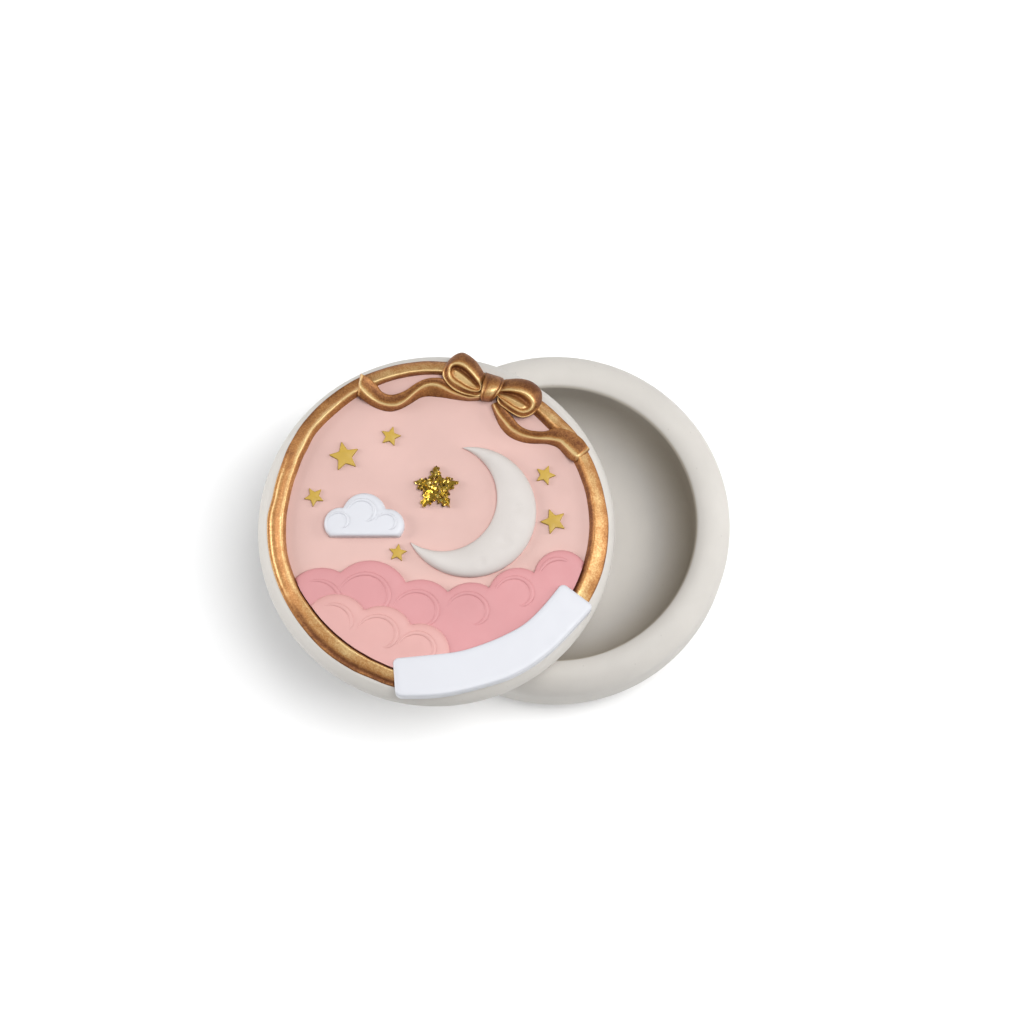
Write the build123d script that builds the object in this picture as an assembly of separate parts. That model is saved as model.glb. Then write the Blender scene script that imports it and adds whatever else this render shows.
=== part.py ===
from build123d import *
import os
from math import acos, cos, degrees, radians, sin

os.makedirs("parts", exist_ok=True)

# A round cast keepsake box for a first tooth: a thick bowl, and a lid that lies open on its rim.
# Millimetres, +Z up. The origin is the centre of the bowl's flat foot.

# Bowl
bowl_radius = 30.0
bowl_height = 18.0
foot_radius = 24.0
heel_height = 7.5
belly_height = 10.0
rim_inset = 3.6
lip_round = 2.3
floor_thickness = 3.0
floor_round = 7.0

# Lid, with heights measured from the flat underside that closes on the rim
widest_height = 3.8
shoulder_reach = 5.2
shoulder_rise = 5.2
seat_inset = 1.6
seat_height = 6.8
plug_depth = 2.5
plug_clearance = 0.6
plug_chamfer = 0.5

# Where the lid lies in the photograph: its axis from the bowl's axis, and the gap under its plug
lid_shift_x = -20.2
lid_shift_y = -3.2
rest_gap = 0.1

# Inlays on the lid: the gap round each, the gilt ring and the pink field inside it
inlay_gap = 0.05
ring_width = 3.45
ring_height = 2.3
field_thickness = 0.8

# Banner across the lower right of the ring
banner_overhang = 0.8
banner_middle_width = 7.9
banner_end_width = 5.5
banner_proud = 0.5
banner_edge = 0.5

# Ribbon bow: its place on the ring, the size of its pieces and how far each stands above the ring
bow_outset = 0.2
bow_sink = 1.4
loop_length = 6.9
loop_width = 6.4
loop_proud = 2.1
loop_start = 1.3
knot_length = 5.4
knot_width = 3.7
knot_proud = 2.5
pleat_depth = 1.0
pleat_width = 0.8
tail_width = 3.3
tail_proud = 0.5

# Low relief on the field: how far each form stands above it
moon_height = 1.7
moon_edge = 0.8
bank_height = 1.0
near_bank_height = 1.6
white_cloud_height = 1.5
star_height = 0.45
glitter_star_wall = 0.7
glitter_star_height = 2.2

# Angles, in degrees, counted from +X about the lid's axis
banner_outer_angles = (-103.0, -65.5, -28.0)
banner_inner_angles = (-107.5, -64.0, -25.8)
bow_angle = 68.2
bow_lean = -3.5
moon_hollow_angle = 152.0

# Straight facets that stand for each round of a turned profile
heel_facets = 3
shoulder_facets = 3
lip_facets = 2
floor_facets = 3
under_facets = 3
lid_shoulder_facets = 3

# Ring section: across from its outer wall as shares of its width, and up as shares of its height
ring_section_shares = [
    (0.00, 0.00),
    (0.02, 0.58),
    (0.15, 0.58),
    (0.22, 0.40),
    (0.32, 0.86),
    (0.56, 0.70),
    (0.84, 1.00),
    (1.00, 0.00),
]

# Half oval section of a loop or knot: across as shares of its half width, up as shares of its height
swell_section_shares = [
    (-1.00, 0.00),
    (-0.94, 0.48),
    (-0.62, 0.86),
    (0.00, 1.00),
    (0.62, 0.86),
    (0.94, 0.48),
    (1.00, 0.00),
]

# Stations of each loop from the knot outwards: along, sideways, half width, height
left_loop_shares = [
    (0.00, 0.05, 0.24, 0.66),
    (0.30, 0.07, 0.42, 0.92),
    (0.62, 0.04, 0.50, 1.00),
    (0.88, 0.00, 0.42, 0.86),
    (1.00, 0.00, 0.26, 0.62),
]
right_loop_shares = [
    (0.00, 0.12, 0.25, 0.68),
    (0.26, 0.12, 0.44, 0.94),
    (0.62, 0.10, 0.50, 1.00),
    (0.90, 0.09, 0.38, 0.82),
    (1.00, 0.09, 0.24, 0.62),
]
knot_shares = [
    (-0.50, 0.10, 0.40, 0.66),
    (-0.32, 0.04, 0.48, 0.90),
    (0.00, 0.00, 0.44, 1.00),
    (0.34, -0.03, 0.50, 0.92),
    (0.50, -0.06, 0.42, 0.70),
]

# Pleats in each loop: start and end along and sideways, as shares of its length and width
left_pleat_shares = [
    ((0.10, 0.10), (0.84, 0.22)),
    ((0.10, 0.00), (0.86, -0.18)),
]
right_pleat_shares = [
    ((0.10, 0.20), (0.84, 0.36)),
    ((0.10, 0.10), (0.90, 0.08)),
    ((0.10, 0.02), (0.72, -0.20)),
]

# Tail section: across as shares of its width, up as shares of its height
tail_section_shares = [
    (-0.50, 0.00),
    (-0.44, 0.66),
    (-0.16, 0.58),
    (0.12, 1.00),
    (0.24, 0.94),
    (0.50, 0.00),
]

# Waving line of each tail, as shares of the lid's radius, and how far the tail keeps its full section
left_tail_shares = [
    (0.235, 0.725),
    (0.130, 0.730),
    (0.053, 0.767),
    (-0.013, 0.783),
    (-0.080, 0.780),
    (-0.147, 0.737),
    (-0.213, 0.687),
    (-0.263, 0.673),
    (-0.320, 0.687),
    (-0.377, 0.737),
    (-0.411, 0.792),
    (-0.409, 0.842),
]
right_tail_shares = [
    (0.298, 0.697),
    (0.327, 0.630),
    (0.380, 0.560),
    (0.447, 0.510),
    (0.523, 0.487),
    (0.600, 0.490),
    (0.677, 0.490),
    (0.743, 0.463),
    (0.800, 0.422),
    (0.832, 0.428),
]
tail_start_share = 0.70
tail_lift_share = 0.35
tail_lift_from_share = 0.78
tail_stations = 13

# Clouds: centre and radius of each lobe as shares of the field's radius
bank_lobe_shares = [
    (-0.76, -0.56, 0.26),
    (-0.44, -0.52, 0.27),
    (-0.10, -0.62, 0.24),
    (0.24, -0.62, 0.22),
    (0.55, -0.50, 0.20),
    (0.84, -0.36, 0.18),
]
near_bank_lobe_shares = [
    (-0.66, -0.70, 0.22),
    (-0.36, -0.78, 0.22),
    (-0.10, -0.88, 0.20),
]
white_lobe_shares = [
    (-0.64, 0.00, 0.11),
    (-0.48, 0.06, 0.15),
    (-0.32, -0.01, 0.11),
]
white_cloud_flat_share = -0.09

# Moon: its place, its radius, and its hollow's radius and shift, as shares of the field's radius
moon_place_shares = (0.225, 0.085)
moon_radius_share = 0.45
moon_hollow_radius_share = 0.37
moon_hollow_shift_share = 0.21

# Stars: centre as shares of the field's radius, size as a share of the largest, and turn in degrees
star_shares = [
    (-0.62, 0.47, 1.00, 12.0),
    (-0.31, 0.61, 0.68, -14.0),
    (-0.82, 0.19, 0.66, 30.0),
    (-0.255, -0.195, 0.60, -8.0),
    (0.79, 0.02, 0.86, 20.0),
    (0.735, 0.34, 0.68, -20.0),
]
star_radius_share = 0.108
star_waist_share = 0.46
star_points = 5
glitter_star_shares = (0.00, 0.245)
glitter_star_radius_share = 0.16

# Sizes that follow from the ones above
crest_radius = bowl_radius - rim_inset
mouth_radius = crest_radius - lip_round
plug_radius = mouth_radius - plug_clearance
lid_radius = bowl_radius
lid_level = bowl_height + rest_gap + plug_depth
seat_radius = lid_radius - seat_inset
ring_outer = seat_radius - inlay_gap
ring_inner = ring_outer - ring_width
ring_top = seat_height + ring_height
field_radius = ring_inner - inlay_gap
field_top = seat_height + field_thickness
banner_outer_reach = seat_radius + banner_overhang
banner_middle_reach = banner_outer_reach - banner_middle_width
banner_end_reach = banner_outer_reach - banner_end_width
banner_top = ring_top + banner_proud
bow_reach = ring_inner + bow_outset
loop_height = ring_height + loop_proud
knot_height = ring_height + knot_proud
tail_height = ring_height + tail_proud
relief_radius = field_radius - inlay_gap
moon_radius = moon_radius_share * field_radius
moon_hollow_radius = moon_hollow_radius_share * field_radius
moon_hollow_shift = moon_hollow_shift_share * field_radius
star_radius = star_radius_share * field_radius
glitter_star_radius = glitter_star_radius_share * field_radius
lid_place = Location((lid_shift_x, lid_shift_y, lid_level))


def polar(reach, angle):
    """A point at a reach from the lid's axis."""
    return (reach * cos(radians(angle)), reach * sin(radians(angle)))


def oval_points(centre, reaches, start, sweep, facets):
    """Points along part of an oval in a turned profile, both ends included."""
    turns = [radians(start + sweep * step / facets) for step in range(facets + 1)]
    return [(centre[0] + reaches[0] * cos(t), centre[1] + reaches[1] * sin(t)) for t in turns]


def turned(points):
    """A solid turned about the vertical axis from its half profile."""
    return revolve(Plane.XZ * make_face(Polyline(*points, close=True)), Axis.Z)


def largest(shape):
    """The main solid of a cut shape."""
    return max(shape.solids(), key=lambda solid: solid.volume)


def seated(piece, carriers):
    """A piece cut back to the surfaces that carry it."""
    for carrier in carriers:
        piece = piece - carrier
    return largest(piece)


def make_bowl():
    """The thick bowl: flat foot, rounded heel, leaning side, round rim and a well with a deep floor round."""
    side_rise = bowl_height - belly_height
    lip_level = bowl_height - lip_round
    round_centre = mouth_radius - floor_round
    round_level = floor_thickness + floor_round
    heel = ((foot_radius, heel_height), (bowl_radius - foot_radius, heel_height))
    points = [(0, 0)]
    points += oval_points(*heel, 270, 90, heel_facets)
    points += oval_points((crest_radius, belly_height), (rim_inset, side_rise), 0, 90, shoulder_facets)
    points += oval_points((crest_radius, lip_level), (lip_round, lip_round), 90, 90, lip_facets)[1:]
    points += oval_points((round_centre, round_level), (floor_round, floor_round), 0, -90, floor_facets)
    points.append((0, floor_thickness))
    return turned(points)


def make_lid():
    """The lid's casting: a plug that fits the mouth, a rounded edge and a sunk seat for the relief."""
    shoulder_centre = lid_radius - shoulder_reach
    shoulder_sweep = degrees(acos((seat_radius - shoulder_centre) / shoulder_reach))
    under = ((crest_radius, widest_height), (rim_inset, widest_height))
    shoulder = ((shoulder_centre, widest_height), (shoulder_reach, shoulder_rise))
    points = [
        (0, -plug_depth),
        (plug_radius - plug_chamfer, -plug_depth),
        (plug_radius, plug_chamfer - plug_depth),
        (plug_radius, 0),
    ]
    points += oval_points(*under, 270, 90, under_facets)
    points += oval_points(*shoulder, 0, shoulder_sweep, lid_shoulder_facets)[1:]
    points.append((seat_radius, seat_height))
    points.append((0, seat_height))
    return turned(points)


def make_field():
    """The flat pink disc inside the ring."""
    return Pos(0, 0, seat_height) * extrude(Circle(field_radius), field_thickness)


def banner_outline():
    """The banner seen from above: the lid's curve outside and a flatter curve inside."""
    outer = [polar(banner_outer_reach, angle) for angle in banner_outer_angles]
    reaches = (banner_end_reach, banner_middle_reach, banner_end_reach)
    inner = [polar(reach, angle) for reach, angle in zip(reaches, banner_inner_angles)]
    edges = [
        ThreePointArc(*outer),
        Line(outer[2], inner[2]),
        ThreePointArc(*reversed(inner)),
        Line(inner[0], outer[0]),
    ]
    return make_face(edges)


def make_banner(lid, field):
    """The bare banner, lying on the shoulder, the seat and the field, with softened upper edges."""
    block = extrude(banner_outline(), banner_top)
    block = chamfer(block.faces().sort_by(Axis.Z)[-1].edges(), banner_edge)
    return largest(block - lid - field)


def make_ring():
    """The gilt ring: thin outer bead, groove and hollowed band, cut square where the banner lies."""
    points = [
        (ring_outer - ring_width * across, seat_height + ring_height * up)
        for across, up in ring_section_shares
    ]
    return largest(turned(points) - extrude(banner_outline(), banner_top))


def bow_frame(turn):
    """A plane at the middle of the bow, with its X axis turned from the bow's own long axis."""
    origin = (*polar(bow_reach, bow_angle), seat_height - bow_sink)
    heading = radians(bow_angle - 90 + bow_lean + turn)
    return Plane(origin=origin, x_dir=(cos(heading), sin(heading), 0), z_dir=(0, 0, 1))


def swelling(frame, stations, length, width, height, start):
    """A rounded form lofted through half oval sections set out along a frame's X axis."""
    sections = []
    for along, sideways, half, rise in stations:
        origin = frame.from_local_coords(Vector(start + along * length, sideways * width, 0))
        plane = Plane(origin=origin, x_dir=-frame.y_dir, z_dir=-frame.x_dir)
        points = [
            (across * half * width, up * (rise * height + bow_sink))
            for across, up in swell_section_shares
        ]
        sections.append(plane * make_face(Polyline(*points, close=True)))
    return loft(sections, ruled=True)


def pleat(frame, ends):
    """A leaf shaped groove that sinks into the top of a loop."""
    places = [(loop_start + along * loop_length, side * loop_width) for along, side in ends]
    first, last = Vector(*places[0], 0), Vector(*places[1], 0)
    middle = (first + last) / 2
    across = (last - first).normalized().rotate(Axis.Z, 90) * (pleat_width / 2)
    leaf = make_face([ThreePointArc(first, middle + across, last), ThreePointArc(last, middle - across, first)])
    level = loop_height + bow_sink - pleat_depth
    return frame.location * Pos(0, 0, level) * extrude(leaf, loop_height)


def make_loop(turn, stations, pleats):
    """One loop of the bow with its pleats."""
    frame = bow_frame(turn)
    loop = swelling(frame, stations, loop_length, loop_width, loop_height, loop_start)
    for ends in pleats:
        loop -= pleat(frame, ends)
    return loop


def make_knot():
    """The band that wraps the middle of the bow."""
    return swelling(bow_frame(90), knot_shares, knot_length, knot_width, knot_height, 0)


def make_tail(line_shares, front):
    """A waving ribbon tail: a raised front crest, a hollow behind it and a sloping front wall."""
    line = Spline(*[(x * lid_radius, y * lid_radius) for x, y in line_shares])
    sections = []
    for step in range(tail_stations + 1):
        share = step / tail_stations
        width = tail_width * min(1, tail_start_share + share)
        lift = max(0, share - tail_lift_from_share) / (1 - tail_lift_from_share)
        height = tail_height * (1 + tail_lift_share * lift)
        heading = line % share
        plane = Plane(
            origin=line @ share + Vector(0, 0, seat_height),
            x_dir=heading.rotate(Axis.Z, 90),
            z_dir=heading,
        )
        points = [(front * across * width, up * height) for across, up in tail_section_shares]
        sections.append(plane * make_face(Polyline(*points, close=True)))
    return loft(sections, ruled=True)


def bevelled_disc(centre, radius, height, edge):
    """A disc raised from the field. Its upper edge is drawn in, or flared where edge is negative."""
    profile = [(0, 0), (radius, 0), (radius, height - abs(edge)), (radius - edge, height), (0, height)]
    return Pos(*centre, field_top) * turned(profile)


def lobed(lobes, height):
    """Round lobes raised from the field and joined into one cloud."""
    discs = [Pos(x * field_radius, y * field_radius) * Circle(r * field_radius) for x, y, r in lobes]
    return Pos(0, 0, field_top) * extrude(Sketch() + discs, height)


def make_bank(lobes, height):
    """A bank of cloud that fills the field below its lobes, up to the ring and the banner."""
    crests = [(x * field_radius, y * field_radius) for x, y, _ in lobes]
    left_edge, right_edge = (-field_radius, crests[0][1]), (field_radius, crests[-1][1])
    corners = [left_edge, *crests, right_edge, (field_radius, -field_radius), (-field_radius, -field_radius)]
    below = Pos(0, 0, field_top) * extrude(make_face(Polyline(*corners, close=True)), height)
    bank = (lobed(lobes, height) + below) & extrude(Circle(relief_radius), banner_top)
    return largest(bank - extrude(banner_outline(), banner_top))


def make_white_cloud():
    """The small white cloud, flat below."""
    flat_level = white_cloud_flat_share * field_radius
    below = Pos(0, flat_level - field_radius) * Rectangle(2 * field_radius, 2 * field_radius)
    cloud = lobed(white_lobe_shares, white_cloud_height)
    return largest(cloud - extrude(below, banner_top))


def make_moon():
    """The crescent moon, bevelled outside and in its hollow."""
    centre = Vector(*[share * field_radius for share in moon_place_shares])
    hollow_centre = centre + Vector(*polar(moon_hollow_shift, moon_hollow_angle))
    disc = bevelled_disc((centre.X, centre.Y), moon_radius, moon_height, moon_edge)
    hollow = bevelled_disc((hollow_centre.X, hollow_centre.Y), moon_hollow_radius, moon_height, -moon_edge)
    return largest(disc - hollow)


def star_outline(radius, turn):
    """A five pointed star."""
    count = 2 * star_points
    spokes = [radius * (star_waist_share if step % 2 else 1) for step in range(count)]
    corners = [polar(spoke, 90 + turn + step * 360 / count) for step, spoke in enumerate(spokes)]
    return make_face(Polyline(*corners, close=True))


def make_stars():
    """The flat gold stars, one solid each."""
    stars = []
    for x, y, size, turn in star_shares:
        place = Pos(x * field_radius, y * field_radius, field_top)
        stars.append(place * extrude(star_outline(size * star_radius, turn), star_height))
    return Compound(children=stars)


def make_glitter_star():
    """The thick star in the moon's hollow, with ridged points."""
    outline = star_outline(glitter_star_radius, 0)
    peak = loft([Pos(0, 0, glitter_star_wall) * outline, Vertex(0, 0, glitter_star_height)], ruled=True)
    place = Pos(*[share * field_radius for share in glitter_star_shares], field_top)
    return place * (extrude(outline, glitter_star_wall) + peak)


def build():
    """Every piece by name. The lid's pieces are made on its own axis and then moved to where it lies."""
    lid = make_lid()
    field = make_field()
    ring = make_ring()
    near_bank = make_bank(near_bank_lobe_shares, near_bank_height)
    carried = [lid, ring, field]
    knot = seated(make_knot(), carried)
    left_loop = seated(make_loop(180, left_loop_shares, left_pleat_shares), carried + [knot])
    right_loop = seated(make_loop(0, right_loop_shares, right_pleat_shares), carried + [knot])
    bow = [knot, left_loop, right_loop]
    on_lid = {
        "lid": lid,
        "medallion_field": field,
        "gilt_ring": ring,
        "banner": make_banner(lid, field),
        "bow_knot": knot,
        "bow_left_loop": left_loop,
        "bow_right_loop": right_loop,
        "ribbon_left_tail": seated(make_tail(left_tail_shares, 1), carried + bow),
        "ribbon_right_tail": seated(make_tail(right_tail_shares, -1), carried + bow),
        "crescent_moon": make_moon(),
        "cloud_bank": largest(make_bank(bank_lobe_shares, bank_height) - near_bank),
        "near_cloud_bank": near_bank,
        "white_cloud": make_white_cloud(),
        "gold_stars": make_stars(),
        "glitter_star": make_glitter_star(),
    }
    pieces = {name: lid_place * piece for name, piece in on_lid.items()}
    pieces["bowl"] = make_bowl()
    return pieces


for name, piece in build().items():
    export_step(piece, f"parts/{name}.step")
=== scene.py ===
"""Dresses a cast keepsake box for a baby tooth: a bowl, and its open lid with gilt and painted relief."""

import random
from math import acos, asin, atan2, cos, degrees, pi, radians, sin, sqrt

import bmesh
import bpy
from bpy.props import FloatProperty, FloatVectorProperty, IntProperty, PointerProperty
from mathutils import Matrix, Vector, noise


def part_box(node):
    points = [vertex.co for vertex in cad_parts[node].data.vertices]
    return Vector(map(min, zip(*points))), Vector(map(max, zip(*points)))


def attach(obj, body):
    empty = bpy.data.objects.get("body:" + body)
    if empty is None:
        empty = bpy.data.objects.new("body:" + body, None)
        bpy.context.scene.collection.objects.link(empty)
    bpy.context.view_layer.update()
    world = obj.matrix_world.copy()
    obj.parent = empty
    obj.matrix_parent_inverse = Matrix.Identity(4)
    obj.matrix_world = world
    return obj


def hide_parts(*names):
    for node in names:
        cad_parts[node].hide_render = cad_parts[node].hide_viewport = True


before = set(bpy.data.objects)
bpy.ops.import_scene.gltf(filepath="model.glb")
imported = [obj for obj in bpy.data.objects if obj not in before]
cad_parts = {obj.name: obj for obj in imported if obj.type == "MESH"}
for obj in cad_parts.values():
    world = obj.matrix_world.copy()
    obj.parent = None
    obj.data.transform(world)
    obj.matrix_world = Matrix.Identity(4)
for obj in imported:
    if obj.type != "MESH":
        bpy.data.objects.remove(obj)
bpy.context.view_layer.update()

bl_info = {
    "name": "Keepsake Box Dressing",
    "version": (1, 0, 0),
    "blender": (4, 5, 0),
    "location": "View3D > Sidebar > Keepsake",
    "description": "Builds the painted castings of a round keepsake box over its construction model",
    "category": "Object",
}

MM = 0.001
# How much brighter than its paint a face that looks up shows in the studio
STUDIO_LIFT = 1.3
FULL_TURN = 2 * pi

# The camera: what it looks at, how far it leans over, how far off it stands, and its lens in millimetres
CAMERA_TARGET = Vector((-7.51, 5.27, 1.10)) * MM
CAMERA_LEAN = radians(76.9)
CAMERA_DISTANCE = 0.493
CAMERA_LENS = 97.9
SENSOR_WIDTH = 36.0
CAMERA_PLACE = CAMERA_TARGET + Vector((0, -cos(CAMERA_LEAN), sin(CAMERA_LEAN))) * CAMERA_DISTANCE

# Where the ring's middle shows in the photograph, and how many pixels a millimetre of it takes across and up
PICTURE_SIZE = 1024
RING_MIDDLE = (437.0, 525.9)
PIXELS_PER_MM = (6.0, 5.87)

# Places and sizes read from the construction model, in metres
BOWL_LOW, BOWL_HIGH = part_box("bowl")
LID_LOW, LID_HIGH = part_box("lid")
FIELD_LOW, FIELD_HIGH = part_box("medallion_field")
RING_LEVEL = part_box("gilt_ring")[1].z
BANNER_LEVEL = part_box("banner")[1].z

BOWL_RADIUS = (BOWL_HIGH.x - BOWL_LOW.x) / 2
LID_RADIUS = (LID_HIGH.x - LID_LOW.x) / 2
LID_X = (LID_LOW.x + LID_HIGH.x) / 2
LID_Y = (LID_LOW.y + LID_HIGH.y) / 2
SEAT_LEVEL = FIELD_LOW.z
FIELD_LEVEL = FIELD_HIGH.z
FIELD_RADIUS = (FIELD_HIGH.x - FIELD_LOW.x) / 2
LID_AXIS = (LID_X, LID_Y)

# The ridges on the clouds
CURL_WIDTH = 0.42 * MM
CURL_HEIGHT = 0.20 * MM
# The shine of a plain place, neither in a hollow nor on an edge: it carries neither wear and patina nor
# painted shade and painted highlights
PLAIN_SHINE = 0.5
# Pieces into which a smooth line's spans are cut before its places are spread evenly
FINE_STEPS = 12
# Steps in which a profile is turned all the way round
TURN_STEPS = 192


def paint(red, green, blue):
    """A colour as the studio shows it, from 0 to 255, turned into the linear values that shaders take."""
    shades = [value / 255 for value in (red, green, blue)]
    linear = [((s + 0.055) / 1.055) ** 2.4 if s > 0.04045 else s / 12.92 for s in shades]
    return tuple(value / STUDIO_LIFT for value in linear)


def length(name, description, metres):
    """A size that a user can change."""
    return FloatProperty(name=name, description=description, default=metres, unit="LENGTH", precision=5)


def colour(name, description, shades):
    """A colour that a user can change."""
    return FloatVectorProperty(name=name, description=description, default=shades, size=3, subtype="COLOR")


class KeepsakeSizes(bpy.types.PropertyGroup):
    """Sizes of the castings. The defaults fit the construction model."""

    bowl_radius: length("Bowl radius", "Widest radius of the bowl", BOWL_RADIUS)
    bowl_height: length("Bowl height", "Height of the bowl's rim above its foot", BOWL_HIGH.z)
    heel_height: length("Heel height", "Height at which the wall stands upright", 6.6 * MM)
    belly_height: length("Belly height", "Height at which the wall starts to lean in", 13.6 * MM)
    crest_inset: length("Crest inset", "How far the rim's crest lies in from the widest radius", 4.1 * MM)
    crown_round: length("Crown round", "Radius of the round from the rim's crest inwards", 4.5 * MM)
    foot_radius: length("Foot radius", "Radius of the flat foot", 24.0 * MM)
    mouth_radius: length("Mouth radius", "Radius of the bowl's mouth", 23.85 * MM)
    mouth_shift: length("Mouth shift", "How far the mouth lies to the front of the bowl's middle", 0.25 * MM)
    # The radius within which the well's floor gets its full painted light
    painted_floor_light_radius: length("Pale radius", "Radius within which the well's floor is palest", 12.5 * MM)
    lip_round: length("Lip round", "Radius of the round inside the bowl's rim", 0.9 * MM)
    floor_level: length("Floor level", "Height of the well's floor above the foot", 3.0 * MM)
    floor_round: length("Floor round", "Width of the round between the well's wall and its floor", 10.5 * MM)
    floor_rise: length("Floor rise", "Height of the round between the well's wall and its floor", 9.5 * MM)
    lid_radius: length("Lid radius", "Widest radius of the lid", LID_RADIUS)
    plug_radius: length("Plug radius", "Radius of the plug under the lid", 23.5 * MM)
    seat_radius: length("Seat radius", "Radius of the sunk seat on the lid", 28.4 * MM)
    seat_shelf: length("Seat shelf", "Width of the flat shelf that the ring's outer foot stands on", 1.1 * MM)
    ring_wander: length("Ring wander", "How far the hand finished ring strays from true", 0.035 * MM)
    field_radius: length("Field radius", "Radius of the pink disc that shows inside the ring", FIELD_RADIUS)
    field_reach: length("Field reach", "How far the pink disc runs on under the ring", 2.0 * MM)
    banner_corner: length("Banner corner", "Radius of the banner's corners", 0.95 * MM)
    banner_soft: length("Banner softness", "Radius along the banner's upper edges", 0.4 * MM)
    moon_height: length("Moon height", "Height of the moon above the pink disc", 1.7 * MM)
    cloud_height: length("Cloud height", "Height of the bank of cloud above the pink disc", 1.0 * MM)
    near_cloud_height: length("Near cloud height", "Height of the nearer bank of cloud", 1.6 * MM)
    white_cloud_height: length("White cloud height", "Height of the small white cloud", 1.5 * MM)
    star_height: length("Star height", "Height of the flat stars", 0.45 * MM)
    chip_count: IntProperty(name="Glitter chips", description="Chips on the thick star", default=230, min=0)
    floor_size: length("Floor size", "Width of the studio floor", 6.0)


class KeepsakeColours(bpy.types.PropertyGroup):
    """Colours of the paints and of the bare casting."""

    resin: colour("Resin", "Bare casting", paint(224, 219, 212))
    field: colour("Field", "Pink disc inside the ring", paint(233, 193, 184))
    # The gilt's tones: the dark one holds patina in the hollows and painted shade, the light one dry brushed
    # edges and painted highlights
    gilt_shadow: colour("Gilt shadow", "Gilt in its hollows", paint(124, 72, 36))
    gilt: colour("Gilt", "Gilt on flat faces", paint(204, 142, 80))
    gilt_edge: colour("Gilt edge", "Gilt brushed over raised edges", paint(250, 214, 150))
    white: colour("White", "Banner and small cloud", paint(230, 231, 237))
    dove: colour("Dove", "Moon", paint(224, 217, 212))
    rose: colour("Rose", "Far bank of cloud", paint(226, 158, 160))
    blush: colour("Blush", "Near bank of cloud", paint(234, 178, 172))
    mustard: colour("Mustard", "Flat stars", paint(205, 168, 66))
    # A deeper pink for the moon's foot: painted shade where it meets the disc, in the disc's own pink
    outline: colour("Outline", "Deeper paint that gathers where a form meets the disc", paint(222, 142, 134))
    glitter: colour("Glitter", "Chips on the thick star", paint(236, 190, 60))


def settings():
    """The sizes and the colours that the panel shows."""
    scene = bpy.context.scene
    return scene.keepsake_sizes, scene.keepsake_colours


def between(first, last, value):
    """A value between two others."""
    return first + (last - first) * value


def clamp(value):
    """A value held between 0 and 1."""
    return max(0.0, min(1.0, value))


def smooth(value):
    """A share that starts and ends gently."""
    return value * value * (3 - 2 * value)


def heading(angle):
    """A flat step one unit long, at an angle in radians."""
    return Vector((cos(angle), sin(angle)))


# Mesh tools


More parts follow.
